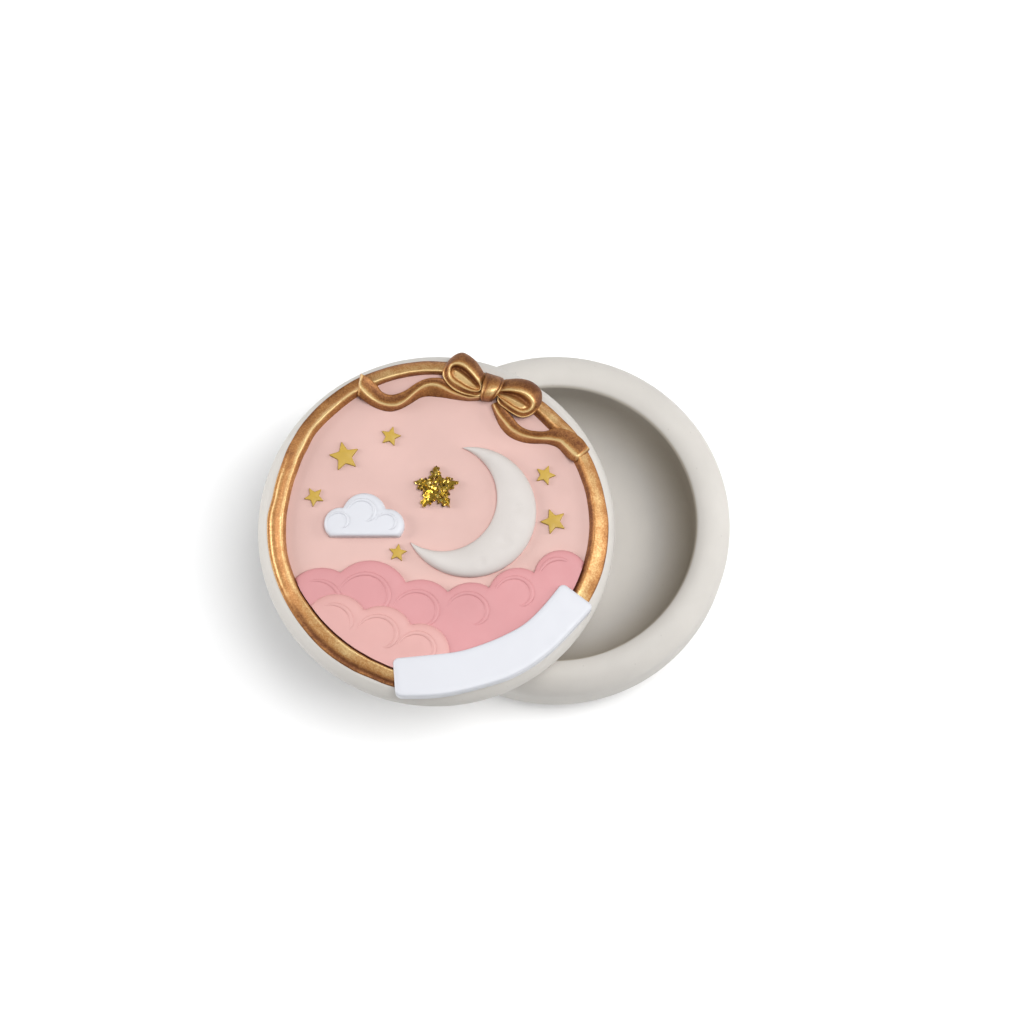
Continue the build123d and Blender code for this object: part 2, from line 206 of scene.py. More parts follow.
class Casting:
    """A mesh in the making, worked in metres with bmesh's own operators."""

    def __init__(self):
        self.mesh = bmesh.new()
        self.shine = self.mesh.verts.layers.float.new("shine")

    def point(self, place, shine=PLAIN_SHINE):
        """A first vertex."""
        tip = bmesh.ops.create_vert(self.mesh, co=place)["vert"][0]
        tip[self.shine] = shine
        return tip

    def step(self, tip, place):
        """A straight run of a profile, from its tip to a place."""
        tip = bmesh.ops.extrude_vert_indiv(self.mesh, verts=[tip])["verts"][0]
        tip.co = place
        return tip

    def arc(self, tip, centre, sweep, stretch, steps):
        """A round run of a profile in the XZ plane, drawn round and then stretched to an oval in height."""
        middle = Vector(centre)
        place = Matrix.Translation(-middle)
        bmesh.ops.scale(self.mesh, vec=(1, 1, 1 / stretch), space=place, verts=[tip])
        before = set(self.mesh.verts) - {tip}
        made = bmesh.ops.spin(
            self.mesh, geom=[tip], cent=middle, axis=(0, -1, 0), angle=radians(sweep), steps=steps)
        swept = [vert for vert in self.mesh.verts if vert not in before]
        bmesh.ops.scale(self.mesh, vec=(1, 1, stretch), space=place, verts=swept)
        return next(item for item in made["geom_last"] if isinstance(item, bmesh.types.BMVert))

    def turn(self):
        """Turns the profile all the way round the vertical axis."""
        geometry = self.mesh.verts[:] + self.mesh.edges[:]
        bmesh.ops.spin(
            self.mesh, geom=geometry, axis=(0, 0, 1), angle=FULL_TURN, steps=TURN_STEPS, use_merge=True)

    def row(self, places, shines):
        """A first row of vertices, joined by edges all the way round."""
        row = [self.point(place, shine) for place, shine in zip(places, shines)]
        for pair in zip(row, row[1:] + row[:1]):
            self.mesh.edges.new(pair)
        return row

    def edges_of(self, row):
        """The edges that join a row."""
        return [self.mesh.edges.get(pair) for pair in zip(row, row[1:] + row[:1])]

    def next_row(self, row, places, shines):
        """Extrudes a row and sets the new row where it belongs."""
        made = bmesh.ops.extrude_edge_only(self.mesh, edges=self.edges_of(row))["geom"]
        fresh = {item for item in made if isinstance(item, bmesh.types.BMVert)}
        following = []
        for vert, place, shine in zip(row, places, shines):
            twin = next(e.other_vert(vert) for e in vert.link_edges if e.other_vert(vert) in fresh)
            twin.co = place
            twin[self.shine] = shine
            following.append(twin)
        return following

    def skin(self, rows, shines=None):
        """A surface through rows of places, with its first and its last row closed by a face."""
        shines = shines or [[PLAIN_SHINE] * len(row) for row in rows]
        first = row = self.row(rows[0], shines[0])
        for places, values in zip(rows[1:], shines[1:]):
            row = self.next_row(row, places, values)
        for end in (first, row):
            bmesh.ops.contextual_create(self.mesh, geom=self.edges_of(end))

    def finish(self, name, body, slot, nodes, material, place=(0, 0, 0), sharp=None, rounding=0):
        """Makes the piece: merged, facing outwards, smooth but for sharp edges, riding and painted."""
        bmesh.ops.translate(self.mesh, vec=place, verts=self.mesh.verts[:])
        bmesh.ops.remove_doubles(self.mesh, verts=self.mesh.verts[:], dist=0.002 * MM)
        bmesh.ops.recalc_face_normals(self.mesh, faces=self.mesh.faces[:])
        for face in self.mesh.faces:
            face.smooth = True
        if sharp is not None:
            for edge in self.mesh.edges:
                edge.smooth = edge.calc_face_angle(0.0) < radians(sharp)
        data = bpy.data.meshes.new(name)
        self.mesh.to_mesh(data)
        self.mesh.free()
        data.materials.append(material)
        piece = bpy.data.objects.new(name, data)
        bpy.context.scene.collection.objects.link(piece)
        if rounding:
            modifier = piece.modifiers.new("Rounding", "SUBSURF")
            modifier.levels = modifier.render_levels = rounding
        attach(piece, body)
        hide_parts(*nodes)


def through(points, count, closed=False):
    """Places spread evenly along a smooth line through points of any dimension."""
    points = [Vector(point) for point in points]
    size = len(points)
    dense = []
    for span in range(size if closed else size - 1):
        around = [(i % size) if closed else min(max(i, 0), size - 1) for i in range(span - 1, span + 3)]
        a, b, c, d = (points[i] for i in around)
        square, cube = 2 * a - 5 * b + 4 * c - d, 3 * b - a - 3 * c + d
        for fine in range(FINE_STEPS):
            t = fine / FINE_STEPS
            dense.append(0.5 * ((2 * b) + (c - a) * t + square * t**2 + cube * t**3))
    dense.append(points[0] if closed else points[-1])
    reach = [0.0]
    for first, second in zip(dense, dense[1:]):
        reach.append(reach[-1] + (second - first).length)
    places, index = [], 0
    for step in range(count):
        goal = reach[-1] * step / (count if closed else count - 1)
        while index < len(dense) - 2 and reach[index + 1] < goal:
            index += 1
        gap = max(reach[index + 1] - reach[index], 1e-12)
        places.append(dense[index].lerp(dense[index + 1], (goal - reach[index]) / gap))
    return places


def seen(x, y, rise):
    """A place on the lid, in metres, from where it shows and its height above the ring, in millimetres."""
    across = (RING_MIDDLE[0] + x * PIXELS_PER_MM[0]) / PICTURE_SIZE - 0.5
    down = (RING_MIDDLE[1] - y * PIXELS_PER_MM[1]) / PICTURE_SIZE - 0.5
    forward = (CAMERA_TARGET - CAMERA_PLACE).normalized()
    side = Vector((1, 0, 0))
    sight = forward * (CAMERA_LENS / SENSOR_WIDTH) + side * across - side.cross(forward) * down
    return CAMERA_PLACE + sight * ((RING_LEVEL + rise * MM - CAMERA_PLACE.z) / sight.z)


def on_field(x, y, rise):
    """A place on the lid from shares of the pink disc's radius and a height above the disc."""
    return Vector((LID_X + x * FIELD_RADIUS, LID_Y + y * FIELD_RADIUS, FIELD_LEVEL + rise))


def at_angle(table, angle):
    """The rows of a table before and after an angle in degrees, and how far it lies from one to the other."""
    angle = (angle - TABLES_FROM) % 360 + TABLES_FROM
    for first, second in zip(table, table[1:]):
        if angle <= second[0]:
            return first, second, smooth(max(0.0, (angle - first[0]) / (second[0] - first[0])))
    return table[-1], table[-1], 0.0


# The angle in degrees that the ring's tables count on from
TABLES_FROM = -60
# The ring's edges as they show: angle in degrees, then outer and inner radius in millimetres
RING_EDGES = [
    (-30, 28.45, 25.10), (-15, 28.68, 25.17), (0, 28.64, 25.32), (12, 28.38, 25.32), (20, 28.28, 25.22),
    (32, 28.15, 25.10), (44, 27.72, 24.75), (58, 27.50, 24.90), (72, 27.30, 25.10), (86, 28.00, 25.62),
    (96, 28.20, 25.78), (108, 28.30, 25.82), (120, 28.46, 25.60), (132, 28.48, 25.45), (142, 28.46, 25.52),
    (150, 28.28, 25.15), (160, 27.98, 24.92), (169, 27.90, 24.90), (178, 28.38, 25.06), (192, 28.44, 25.28),
    (204, 28.42, 25.20), (216, 28.40, 24.98), (228, 28.50, 24.94), (240, 28.42, 25.02), (247, 28.28, 25.16),
    (254, 28.42, 25.36), (264, 28.42, 25.38),
]
# Where those edges lie below the ring's top, in millimetres
EDGE_RISE = -1.5


def ring_edge(angle):
    """The outer and inner edge of the ring at an angle in degrees, as places on the lid."""
    first, second, value = at_angle(RING_EDGES, angle)
    reaches = [between(a, b, value) for a, b in zip(first[1:], second[1:])]
    return [seen(*(heading(radians(angle)) * reach), EDGE_RISE) for reach in reaches]


# Finishes

# Relief of the paints and of the gilt, which only catches the light
GRAIN_DEPTH = 0.02 * MM
GILT_GRAIN_DEPTH = 0.03 * MM
CHIP_GRAIN_DEPTH = 0.05 * MM
# The deeper line round a form's foot, painted shade where the form meets the disc, in the disc's pink on the
# moon: how high it climbs, and how far that wanders
LINE_RISE = 0.35 * MM
LINE_WANDER = 0.12 * MM
# The darkest and the brightest chips of glitter
CHIP_DARK = paint(96, 58, 8)
CHIP_BRIGHT = paint(255, 236, 140)


class Finish:
    """A material and the steps that build its nodes."""

    def __init__(self, name):
        self.material = bpy.data.materials.new(name)
        self.material.use_nodes = True
        self.nodes = self.material.node_tree.nodes
        self.links = self.material.node_tree.links
        self.shader = next(node for node in self.nodes if node.type == "BSDF_PRINCIPLED")
        self.place = self.nodes.new("ShaderNodeTexCoord").outputs["Object"]

    def set(self, **values):
        """Sets the shader's own sockets."""
        for name, value in values.items():
            self.shader.inputs[name.replace("_", " ")].default_value = value

    def noise(self, scale, detail=4.0, roughness=0.55):
        """Cloudy noise on object coordinates."""
        node = self.nodes.new("ShaderNodeTexNoise")
        for name, value in (("Scale", scale), ("Detail", detail), ("Roughness", roughness)):
            node.inputs[name].default_value = value
        self.links.new(self.place, node.inputs["Vector"])
        return node.outputs["Fac"]

    def varied(self, low, high, *noise_values):
        """Cloudy noise that runs from a low to a high value."""
        return self.spread(self.noise(*noise_values), 0.3, 0.7, low, high)

    def specks(self, scale):
        """Distance from scattered points on object coordinates."""
        node = self.nodes.new("ShaderNodeTexVoronoi")
        node.inputs["Scale"].default_value = scale
        self.links.new(self.place, node.inputs["Vector"])
        return node.outputs["Distance"]

    def shine(self):
        """The piece's own shine attribute: low in hollows and high on raised edges. It holds each piece's
        tone: wear and patina on the gilt, but also painted shade and painted highlights there and in the
        bowl's well.
        """
        node = self.nodes.new("ShaderNodeAttribute")
        node.attribute_name = "shine"
        return node.outputs["Fac"]

    def sum(self, kind, first, second):
        """Two values joined by a sum, product or other step of arithmetic."""
        node = self.nodes.new("ShaderNodeMath")
        node.operation = kind
        for socket, value in zip(node.inputs, (first, second)):
            if isinstance(value, (int, float)):
                socket.default_value = value
            else:
                self.links.new(value, socket)
        return node.outputs[0]

    def ramp(self, value, stops):
        """Colours laid along a value."""
        node = self.nodes.new("ShaderNodeValToRGB")
        while len(node.color_ramp.elements) < len(stops):
            node.color_ramp.elements.new(0.5)
        for element, (position, shades) in zip(node.color_ramp.elements, stops):
            element.position = position
            element.color = (*shades, 1.0)
        self.links.new(value, node.inputs["Fac"])
        return node.outputs["Color"]

    def spread(self, value, low, high, new_low, new_high):
        """A value moved from one range to another."""
        node = self.nodes.new("ShaderNodeMapRange")
        for name, number in zip(("From Min", "From Max", "To Min", "To Max"), (low, high, new_low, new_high)):
            node.inputs[name].default_value = number
        self.links.new(value, node.inputs["Value"])
        return node.outputs["Result"]

    def mix(self, factor, first, second):
        """Two colours mixed by a factor."""
        node = self.nodes.new("ShaderNodeMix")
        node.data_type = "RGBA"
        self.links.new(factor, node.inputs[0])
        for socket, value in ((node.inputs[6], first), (node.inputs[7], second)):
            if isinstance(value, tuple):
                socket.default_value = (*value, 1.0)
            else:
                self.links.new(value, socket)
        return node.outputs[2]

    def height(self):
        """Height above the floor, in metres."""
        node = self.nodes.new("ShaderNodeSeparateXYZ")
        self.links.new(self.place, node.inputs[0])
        return node.outputs["Z"]

    def into(self, name, value):
        """Links a value to the shader."""
        self.links.new(value, self.shader.inputs[name])

    def bump(self, value, depth, strength):
        """Relief from a value, with its depth in metres."""
        node = self.nodes.new("ShaderNodeBump")
        node.inputs["Strength"].default_value = strength
        node.inputs["Distance"].default_value = depth
        self.links.new(value, node.inputs["Height"])
        self.into("Normal", node.outputs["Normal"])


def shade(shades, factor):
    """A colour made lighter or darker."""
    return tuple(min(1.0, value * factor) for value in shades)


def resin_finish(name, shades):
    """Matt cast resin: mottled, with pin pricks, with painted shade on the well's wall, warmer and darker,
    and painted light, a paler tone, on its floor.
    """
    finish = Finish(name)
    tone = finish.ramp(finish.noise(160, 5.0), [(0.3, shade(shades, 0.965)), (0.7, shade(shades, 1.02))])
    pricks = finish.spread(finish.specks(420), 0.03, 0.07, 0.0, 1.0)
    mixed_tone = finish.mix(pricks, shade(shades, 0.86), tone)
    # Painted shade: the well's wall takes a warmer, darker tone. Painted light: its floor takes a paler one.
    # The shine attribute lays both.
    painted_wall_shade = tuple(value * tint for value, tint in zip(shades, (0.84, 0.78, 0.68)))
    walls = finish.mix(finish.spread(finish.shine(), 0.0, PLAIN_SHINE, 0.0, 1.0), painted_wall_shade, mixed_tone)
    pale = finish.spread(finish.shine(), PLAIN_SHINE, 1.0, 0.0, 1.0)
    finish.into("Base Color", finish.mix(pale, walls, shade(shades, 1.17)))
    finish.into("Roughness", finish.varied(0.56, 0.70, 900))
    finish.bump(finish.noise(4200, 3.0), GRAIN_DEPTH, 0.5)
    return finish.material


def paint_finish(name, shades, rough=0.5, line=None, grain=0.6):
    """Hand laid paint: soft drifts of tone, brush marks, and a deeper line where a form meets the disc, which
    is painted shade.
    """
    finish = Finish(name)
    stops = [(0.35, shade(shades, 1 - 0.07 * grain)), (0.5, shades), (0.68, shade(shades, 1 + 0.055 * grain))]
    tone = finish.ramp(finish.noise(75, 3.0), stops)
    if line:
        above = finish.sum("SUBTRACT", finish.height(), FIELD_LEVEL)
        wavy = finish.sum("ADD", above, finish.varied(-LINE_WANDER, LINE_WANDER, 700, 2.0))
        tone = finish.mix(finish.spread(wavy, 0.0, LINE_RISE, 0.0, 1.0), line, tone)
    finish.into("Base Color", tone)
    finish.into("Roughness", finish.varied(rough - 0.05, rough + 0.1, 500))
    strokes = finish.sum("MULTIPLY", finish.noise(650, 3.0), 1.6)
    finish.bump(finish.sum("ADD", strokes, finish.noise(3600, 2.0)), GRAIN_DEPTH, grain)
    return finish.material


def gilt_finish(name, shadow, middle, edge):
    """Copper gold paint: dark in its hollows, bright over raised edges, mottled and a little grainy. The
    shine that sets dark and bright holds patina and wear, and also painted shade and painted highlights.
    """
    finish = Finish(name)
    patches = finish.varied(-0.16, 0.16, 420, 5.0, 0.62)
    strokes = finish.varied(-0.17, 0.17, 3600, 3.0, 0.6)
    mixed_tone = finish.sum("ADD", finish.sum("ADD", finish.shine(), patches), strokes)
    brown = tuple(between(a, b, 0.55) for a, b in zip(shadow, middle))
    bright = tuple(between(a, b, 0.45) for a, b in zip(middle, edge))
    stops = [(0.0, shadow), (0.29, brown), (0.51, middle), (0.72, bright), (0.92, edge)]
    # The ramp turns the shine, painted shade and painted highlights included, into the gilt's colour
    finish.into("Base Color", finish.ramp(mixed_tone, stops))
    finish.set(Metallic=0.5)
    finish.into("Roughness", finish.spread(mixed_tone, 0.0, 1.0, 0.56, 0.40))
    finish.bump(finish.sum("ADD", finish.noise(1500), finish.noise(5200, 2.0)), GILT_GRAIN_DEPTH, 0.6)
    return finish.material


def glitter_finish(name, shades):
    """Gold chips in clear gold lacquer: each chip has its own tone."""
    finish = Finish(name)
    stops = [(0.0, CHIP_DARK), (0.35, shade(shades, 0.62)), (0.7, shades), (1.0, CHIP_BRIGHT)]
    finish.into("Base Color", finish.ramp(finish.shine(), stops))
    finish.set(Metallic=0.85, Roughness=0.2, Coat_Weight=0.6, Coat_Roughness=0.08)
    finish.bump(finish.noise(1800, 2.0), CHIP_GRAIN_DEPTH, 0.5)
    return finish.material


def mustard_finish(name, shades):
    """Flat star paint: deeper at the foot and lighter on top."""
    finish = Finish(name)
    mixed_tone = finish.sum("ADD", finish.shine(), finish.varied(-0.25, 0.25, 420))
    stops = [(0.1, shade(shades, 0.72)), (0.55, shade(shades, 0.95)), (1.0, shade(shades, 1.06))]
    finish.into("Base Color", finish.ramp(mixed_tone, stops))
    finish.into("Roughness", finish.varied(0.42, 0.6, 800))
    finish.bump(finish.noise(2600, 3.0), GRAIN_DEPTH, 0.6)
    return finish.material


def backdrop_finish(name):
    """Plain white paper."""
    finish = Finish(name)
    finish.into("Base Color", finish.ramp(finish.noise(3.0), [(0.0, (0.93,) * 3), (1.0, (0.95,) * 3)]))
    finish.set(Roughness=0.9)
    return finish.material


FINISHES = {}


def finish_of(name, maker, *values, **options):
    """A finish that several pieces share, made once."""
    if name not in FINISHES:
        FINISHES[name] = maker(name, *values, **options)
    return FINISHES[name]


def resin():
    """The bare casting of the bowl and the lid."""
    return finish_of("ivory_resin", resin_finish, tuple(settings()[1].resin))


def gilt():
    """The gilt paint of the ring and the bow."""
    colours = settings()[1]
    shades = (colours.gilt_shadow, colours.gilt, colours.gilt_edge)
    return finish_of("gilt_paint", gilt_finish, *(tuple(value) for value in shades))


def white_gloss():
    """The smooth white of the banner and the small cloud."""
    return finish_of("white_gloss_paint", paint_finish, tuple(settings()[1].white), 0.38, grain=0.12)


# Pieces

# The height of the one row of places on the well's upright wall
WALL_MIDDLE = 15.0 * MM
# How far past the well's floor and its mouth a place still counts as in the well
FLOOR_MARGIN = 0.1 * MM
MOUTH_MARGIN = 0.3 * MM
# The shine of the well's wall in the middle of its back, where its painted shade is lightest. It falls to
# none at the sides and in front, where the painted shade is deepest
BACK_WALL_SHINE = 0.32


class MakeBowl(bpy.types.Operator):
    """Turns the thick bowl with its rounded rim and well"""

    bl_idname = "keepsake.make_bowl"
    bl_label = "Bowl"

    def execute(self, context):
        sizes = context.scene.keepsake_sizes
        radius, height, foot = sizes.bowl_radius, sizes.bowl_height, sizes.foot_radius
        heel, belly, crown = sizes.heel_height, sizes.belly_height, sizes.crown_round
        mouth, floor, lip = sizes.mouth_radius, sizes.floor_level, sizes.lip_round
        crest = radius - sizes.crest_inset
        casting = Casting()
        tip = casting.point((0, 0, 0))
        for reach in (0.4, 0.8, 1.0):
            tip = casting.step(tip, (foot * reach, 0, 0))
        tip = casting.arc(tip, (foot, 0, heel), 90, heel / (radius - foot), 14)
        tip = casting.step(tip, (radius, 0, belly))
        tip = casting.arc(tip, (crest, 0, belly), 90, (height - belly) / (radius - crest), 16)
        lean = asin((crest - mouth - lip) / (crown - lip))
        inner = height - crown + (crown - lip) * cos(lean)
        tip = casting.arc(tip, (crest, 0, height - crown), degrees(lean), 1.0, 6)
        tip = casting.arc(tip, (mouth + lip, 0, inner), 90 - degrees(lean), 1.0, 8)
        wall_foot = floor + sizes.floor_rise
        for level in (WALL_MIDDLE, wall_foot):
            tip = casting.step(tip, (mouth, 0, level))
        centre = (mouth - sizes.floor_round, 0, wall_foot)
        tip = casting.arc(tip, centre, -90, sizes.floor_rise / sizes.floor_round, 16)
        for reach in (0.9, 0.6, 0.3, 0.0):
            tip = casting.step(tip, ((mouth - sizes.floor_round) * reach, 0, floor))
        casting.turn()
        for vert in casting.mesh.verts:
            reach = vert.co.xy.length
            above_floor = vert.co.z > floor - FLOOR_MARGIN
            # The shine lays painted shade on the well's wall, lightest at its back, and painted light on its
            # floor; elsewhere it stays plain
            vert[casting.shine] = PLAIN_SHINE
            if above_floor and reach < mouth + MOUTH_MARGIN:
                near_wall = clamp((reach - sizes.painted_floor_light_radius) / (mouth - sizes.painted_floor_light_radius))
                at_back = max(0.0, vert.co.y / mouth) ** 2
                vert[casting.shine] = between(1.0, BACK_WALL_SHINE * at_back, near_wall)
            if above_floor:
                vert.co.y -= sizes.mouth_shift * clamp((crest - reach) / (crest - mouth))
        casting.finish("bowl_casting", "bowl", "ivory_resin", ["bowl"], resin())
        return {"FINISHED"}


class MakeLid(bpy.types.Operator):
    """Turns the lid's casting: plug, rounded edge and sunk seat"""

    bl_idname = "keepsake.make_lid"
    bl_label = "Lid"

    def execute(self, context):
        sizes = context.scene.keepsake_sizes
        radius, plug, seat = sizes.lid_radius, sizes.plug_radius, sizes.seat_radius
        # Above the lid's underside: the seat, and the widest place
        seat_rise, widest = 6.8 * MM, 3.8 * MM
        # The radius of the underside's flat, and the radius of the round above the widest place
        flat, upper = radius - 3.6 * MM, 5.2 * MM
        # The plug's depth, the round of its lower edge, and the nick where it meets the underside
        depth, edge, nick = 2.5 * MM, 0.5 * MM, 0.15 * MM
        shoulder = radius - upper
        sweep = atan2(sqrt(upper**2 - (seat - shoulder) ** 2), seat - shoulder)
        casting = Casting()
        tip = casting.point((0, 0, -depth))
        for inward in (12.0 * MM, 2.0 * MM, edge):
            tip = casting.step(tip, (plug - inward, 0, -depth))
        tip = casting.arc(tip, (plug - edge, 0, edge - depth), 90, 1.0, 4)
        for place in ((plug, 0, -nick), (plug + nick, 0, 0), (flat, 0, 0)):
            tip = casting.step(tip, place)
        tip = casting.arc(tip, (flat, 0, widest), 90, widest / (radius - flat), 12)
        tip = casting.arc(tip, (shoulder, 0, widest), degrees(sweep), 1.0, 14)
        rim = tip.co.copy()
        for inward in (0.5, 1.0):
            tip = casting.step(tip, (rim.x - sizes.seat_shelf * inward, 0, rim.z))
        for inward in (1.0, 0.5, 0.0):
            tip = casting.step(tip, ((rim.x - sizes.seat_shelf) * inward, 0, seat_rise))
        casting.turn()
        place = (*LID_AXIS, SEAT_LEVEL - seat_rise)
        casting.finish("lid_casting", "lid", "ivory_resin", ["lid"], resin(), place, sharp=50)
        return {"FINISHED"}


class MakeField(bpy.types.Operator):
    """Turns the pink disc inside the ring"""

    bl_idname = "keepsake.make_field"
    bl_label = "Pink disc"

    def execute(self, context):
        sizes, colours = settings()
        rise = FIELD_LEVEL - SEAT_LEVEL
        casting = Casting()
        tip = casting.point((0, 0, rise))
        radius = sizes.field_radius + sizes.field_reach
        for reach in (0.25, 0.5, 0.75, 1.0):
            tip = casting.step(tip, (radius * reach, 0, rise))
        for reach in (radius, 0):
            tip = casting.step(tip, (reach, 0, 0))
        casting.turn()
        material = finish_of("pink_paint", paint_finish, tuple(colours.field), 0.55)
        place = (*LID_AXIS, SEAT_LEVEL)
        casting.finish("pink_disc", "lid", "pink_paint", ["medallion_field"], material, place, sharp=40)
        return {"FINISHED"}


# Places across the ring, as shares of its width from its outer wall
RING_ACROSS = [
    0.0, 0.02, 0.06, 0.11, 0.16, 0.22, 0.30, 0.40, 0.50, 0.60, 0.68, 0.74, 0.79, 0.84, 0.89, 0.94, 0.98, 1.0,
]
# The ring's forms, at each of those places: height as a share of the tallest, then shine. The shine holds the
# gilt's wear and also painted light: it differs from side to side of the ring, with painted highlights on the
# faces turned to the light on the right and painted shade on those turned away
RING_FORMS = {
    "left": [
        (0.00, 0.30), (0.38, 0.55), (0.43, 0.72), (0.40, 0.36), (0.45, 0.58), (0.55, 0.84), (0.57, 0.58),
        (0.60, 0.42), (0.67, 0.42), (0.78, 0.50), (0.90, 0.66), (0.98, 0.74), (1.00, 0.74), (0.95, 0.62),
        (0.80, 0.50), (0.55, 0.46), (0.36, 0.42), (0.00, 0.20),
    ],
    "upper": [
        (0.00, 0.10), (0.38, 0.10), (0.43, 0.12), (0.47, 0.18), (0.50, 0.28), (0.53, 0.34), (0.58, 0.36),
        (0.64, 0.40), (0.71, 0.48), (0.82, 0.66), (0.92, 0.92), (1.00, 1.05), (0.97, 0.90), (0.88, 0.52),
        (0.70, 0.38), (0.50, 0.36), (0.36, 0.30), (0.00, 0.20),
    ],
    "top": [
        (0.00, 0.06), (0.38, 0.08), (0.44, 0.16), (0.50, 0.28), (0.56, 0.38), (0.62, 0.46), (0.70, 0.56),
        (0.78, 0.62), (0.85, 0.66), (0.90, 0.68), (0.94, 0.68), (0.97, 0.72), (1.00, 0.90), (1.00, 1.00),
        (0.96, 0.76), (0.70, 0.30), (0.40, 0.16), (0.00, 0.10),
    ],
    "lower": [
        (0.00, 0.14), (0.38, 0.18), (0.44, 0.24), (0.46, 0.20), (0.44, 0.06), (0.42, 0.00), (0.58, 0.16),
        (0.78, 0.56), (0.86, 0.66), (0.90, 0.68), (0.93, 0.68), (0.96, 0.72), (0.98, 0.86), (0.97, 0.76),
        (0.84, 0.46), (0.58, 0.14), (0.36, 0.08), (0.00, 0.10),
    ],
    "right": [
        (0.00, 0.12), (0.38, 0.22), (0.44, 0.38), (0.49, 0.48), (0.54, 0.50), (0.60, 0.54), (0.70, 0.64),
        (0.82, 0.68), (0.92, 0.68), (0.98, 0.64), (1.00, 0.56), (0.97, 0.42), (0.90, 0.26), (0.80, 0.12),
        (0.66, 0.06), (0.50, 0.18), (0.36, 0.16), (0.00, 0.10),
    ],
}
# Where round the ring each form lies, in degrees. Between two rows one form passes into the other
RING_TURNS = [
    (-30, "right"), (60, "right"), (80, "top"), (108, "top"), (122, "upper"), (148, "upper"),
    (168, "left"), (198, "left"), (222, "lower"), (264, "lower"),
]
# The ring's two ends, in degrees, which lie under the banner, and the steps from one to the other
RING_START, RING_END = -27.4, 256.2
RING_STEPS = 300


class MakeRing(bpy.types.Operator):
    """Models the gilt ring with its bead, hollow and ridge, from one end of the banner to the other"""

    bl_idname = "keepsake.make_ring"
    bl_label = "Gilt ring"

    def execute(self, context):
        tall = RING_LEVEL - SEAT_LEVEL
        rows, shines = [], []
        for step in range(RING_STEPS + 1):
            angle = between(RING_START, RING_END, step / RING_STEPS)
            outer, inner = ring_edge(angle)
            inward = (inner - outer).normalized() * context.scene.keepsake_sizes.ring_wander
            first, second, value = at_angle(RING_TURNS, angle)
            row, glow = [], []
            for across, one, other in zip(RING_ACROSS, RING_FORMS[first[1]], RING_FORMS[second[1]]):
                level, shine = (between(a, b, value) for a, b in zip(one, other))
                around = Vector((*(heading(radians(angle)) * 6), level * 1.5))
                stray = (noise.noise(around) + 0.5 * noise.noise(around * 4)) * level
                place = outer.lerp(inner, across) + inward * stray
                lift = min(1.0, level * (1 + 0.018 * noise.noise(around * 2 + Vector((9, 0, 0)))))
                row.append((place.x, place.y, SEAT_LEVEL + tall * lift))
                glow.append(shine + 0.12 * noise.noise(around * 1.3 + Vector((0, 7, 0))))
            rows.append(row)
            shines.append(glow)
        casting = Casting()
        casting.skin(rows, shines)
        casting.finish("gilt_ring_band", "lid", "gilt_paint", ["gilt_ring"], gilt(), sharp=70)
        return {"FINISHED"}


# How much longer the banner is than its near edge's chord, and the least radius of its corners' rows
BANNER_STRETCH = 1.08
LEAST_ROUNDING = 0.35 * MM


class MakeBanner(bpy.types.Operator):
    """Lays the bare banner along the lower right of the ring, with rounded corners and softened edges"""

    bl_idname = "keepsake.make_banner"
    bl_label = "Banner"

    # Its two long edges from left to right as they show, in millimetres from the ring's middle
    near_edge = [
        (-7.40, -22.50), (-2.80, -22.06), (3.07, -21.40), (6.98, -20.30), (10.90, -18.70),
        (14.60, -16.60), (17.70, -13.60), (20.90, -9.60),
    ]
    far_edge = [
        (-6.95, -29.00), (-1.30, -28.95), (3.50, -28.30), (9.70, -26.65), (13.30, -25.20),
        (17.00, -22.90), (20.70, -19.65), (26.20, -13.60),
    ]

    def execute(self, context):
        sizes = context.scene.keepsake_sizes
        rise = (BANNER_LEVEL - RING_LEVEL) / MM
        self.near, self.far = (
            through([seen(x, y, rise) for x, y in edge], 97) for edge in (self.near_edge, self.far_edge))
        tall, soft = BANNER_LEVEL - SEAT_LEVEL, sizes.banner_soft
        # How far each row lies in from the edge, and how far below the top
        profile = [
            (0.0, tall), (0.0, soft * 1.6), (0.0, soft), (soft * 0.13, soft * 0.5), (soft * 0.5, soft * 0.13),
            (soft, 0.0), (soft * 2.5, 0.0), (soft * 5.0, 0.0),
        ]
        rows = [self.slab(inset, BANNER_LEVEL - drop, sizes.banner_corner) for inset, drop in profile]
        casting = Casting()
        casting.skin(rows)
        casting.finish("bare_banner", "lid", "white_gloss_paint", ["banner"], white_gloss(), sharp=60)
        return {"FINISHED"}

    def slab(self, inset, level, corner):
        """A row round the banner: a rounded oblong, inset and bent between the two long edges."""
        middle = len(self.near) // 2
        half_long = (self.near[-1] - self.near[0]).length / 2 * BANNER_STRETCH
        half_wide = (self.far[middle] - self.near[middle]).length / 2
        rounding = max(corner - inset * 0.5, LEAST_ROUNDING)
        reach, width = half_long - inset - rounding, half_wide - inset - rounding
        hubs = [Vector((side * reach, up * width)) for side, up in ((1, 1), (-1, 1), (-1, -1), (1, -1))]
        places = []
        for index, hub in enumerate(hubs):
            places += [hub + heading(radians(90 * (index + step / 8))) * rounding for step in range(9)]
            goal = hubs[(index + 1) % 4] + heading(radians(90 * (index + 1))) * rounding
            count = 8 if index % 2 else 60
            places += [places[-1].lerp(goal, step / count) for step in range(1, count)]
        row = []
        for spot in places:
            along = clamp(spot.x / (2 * half_long) + 0.5) * (len(self.near) - 1)
            before = min(int(along), len(self.near) - 2)
            lines = (self.near, self.far)
            near, far = (line[before].lerp(line[before + 1], along - before) for line in lines)
            place = far.lerp(near, spot.y / (2 * half_wide) + 0.5)
            row.append((place.x, place.y, level))
        return row


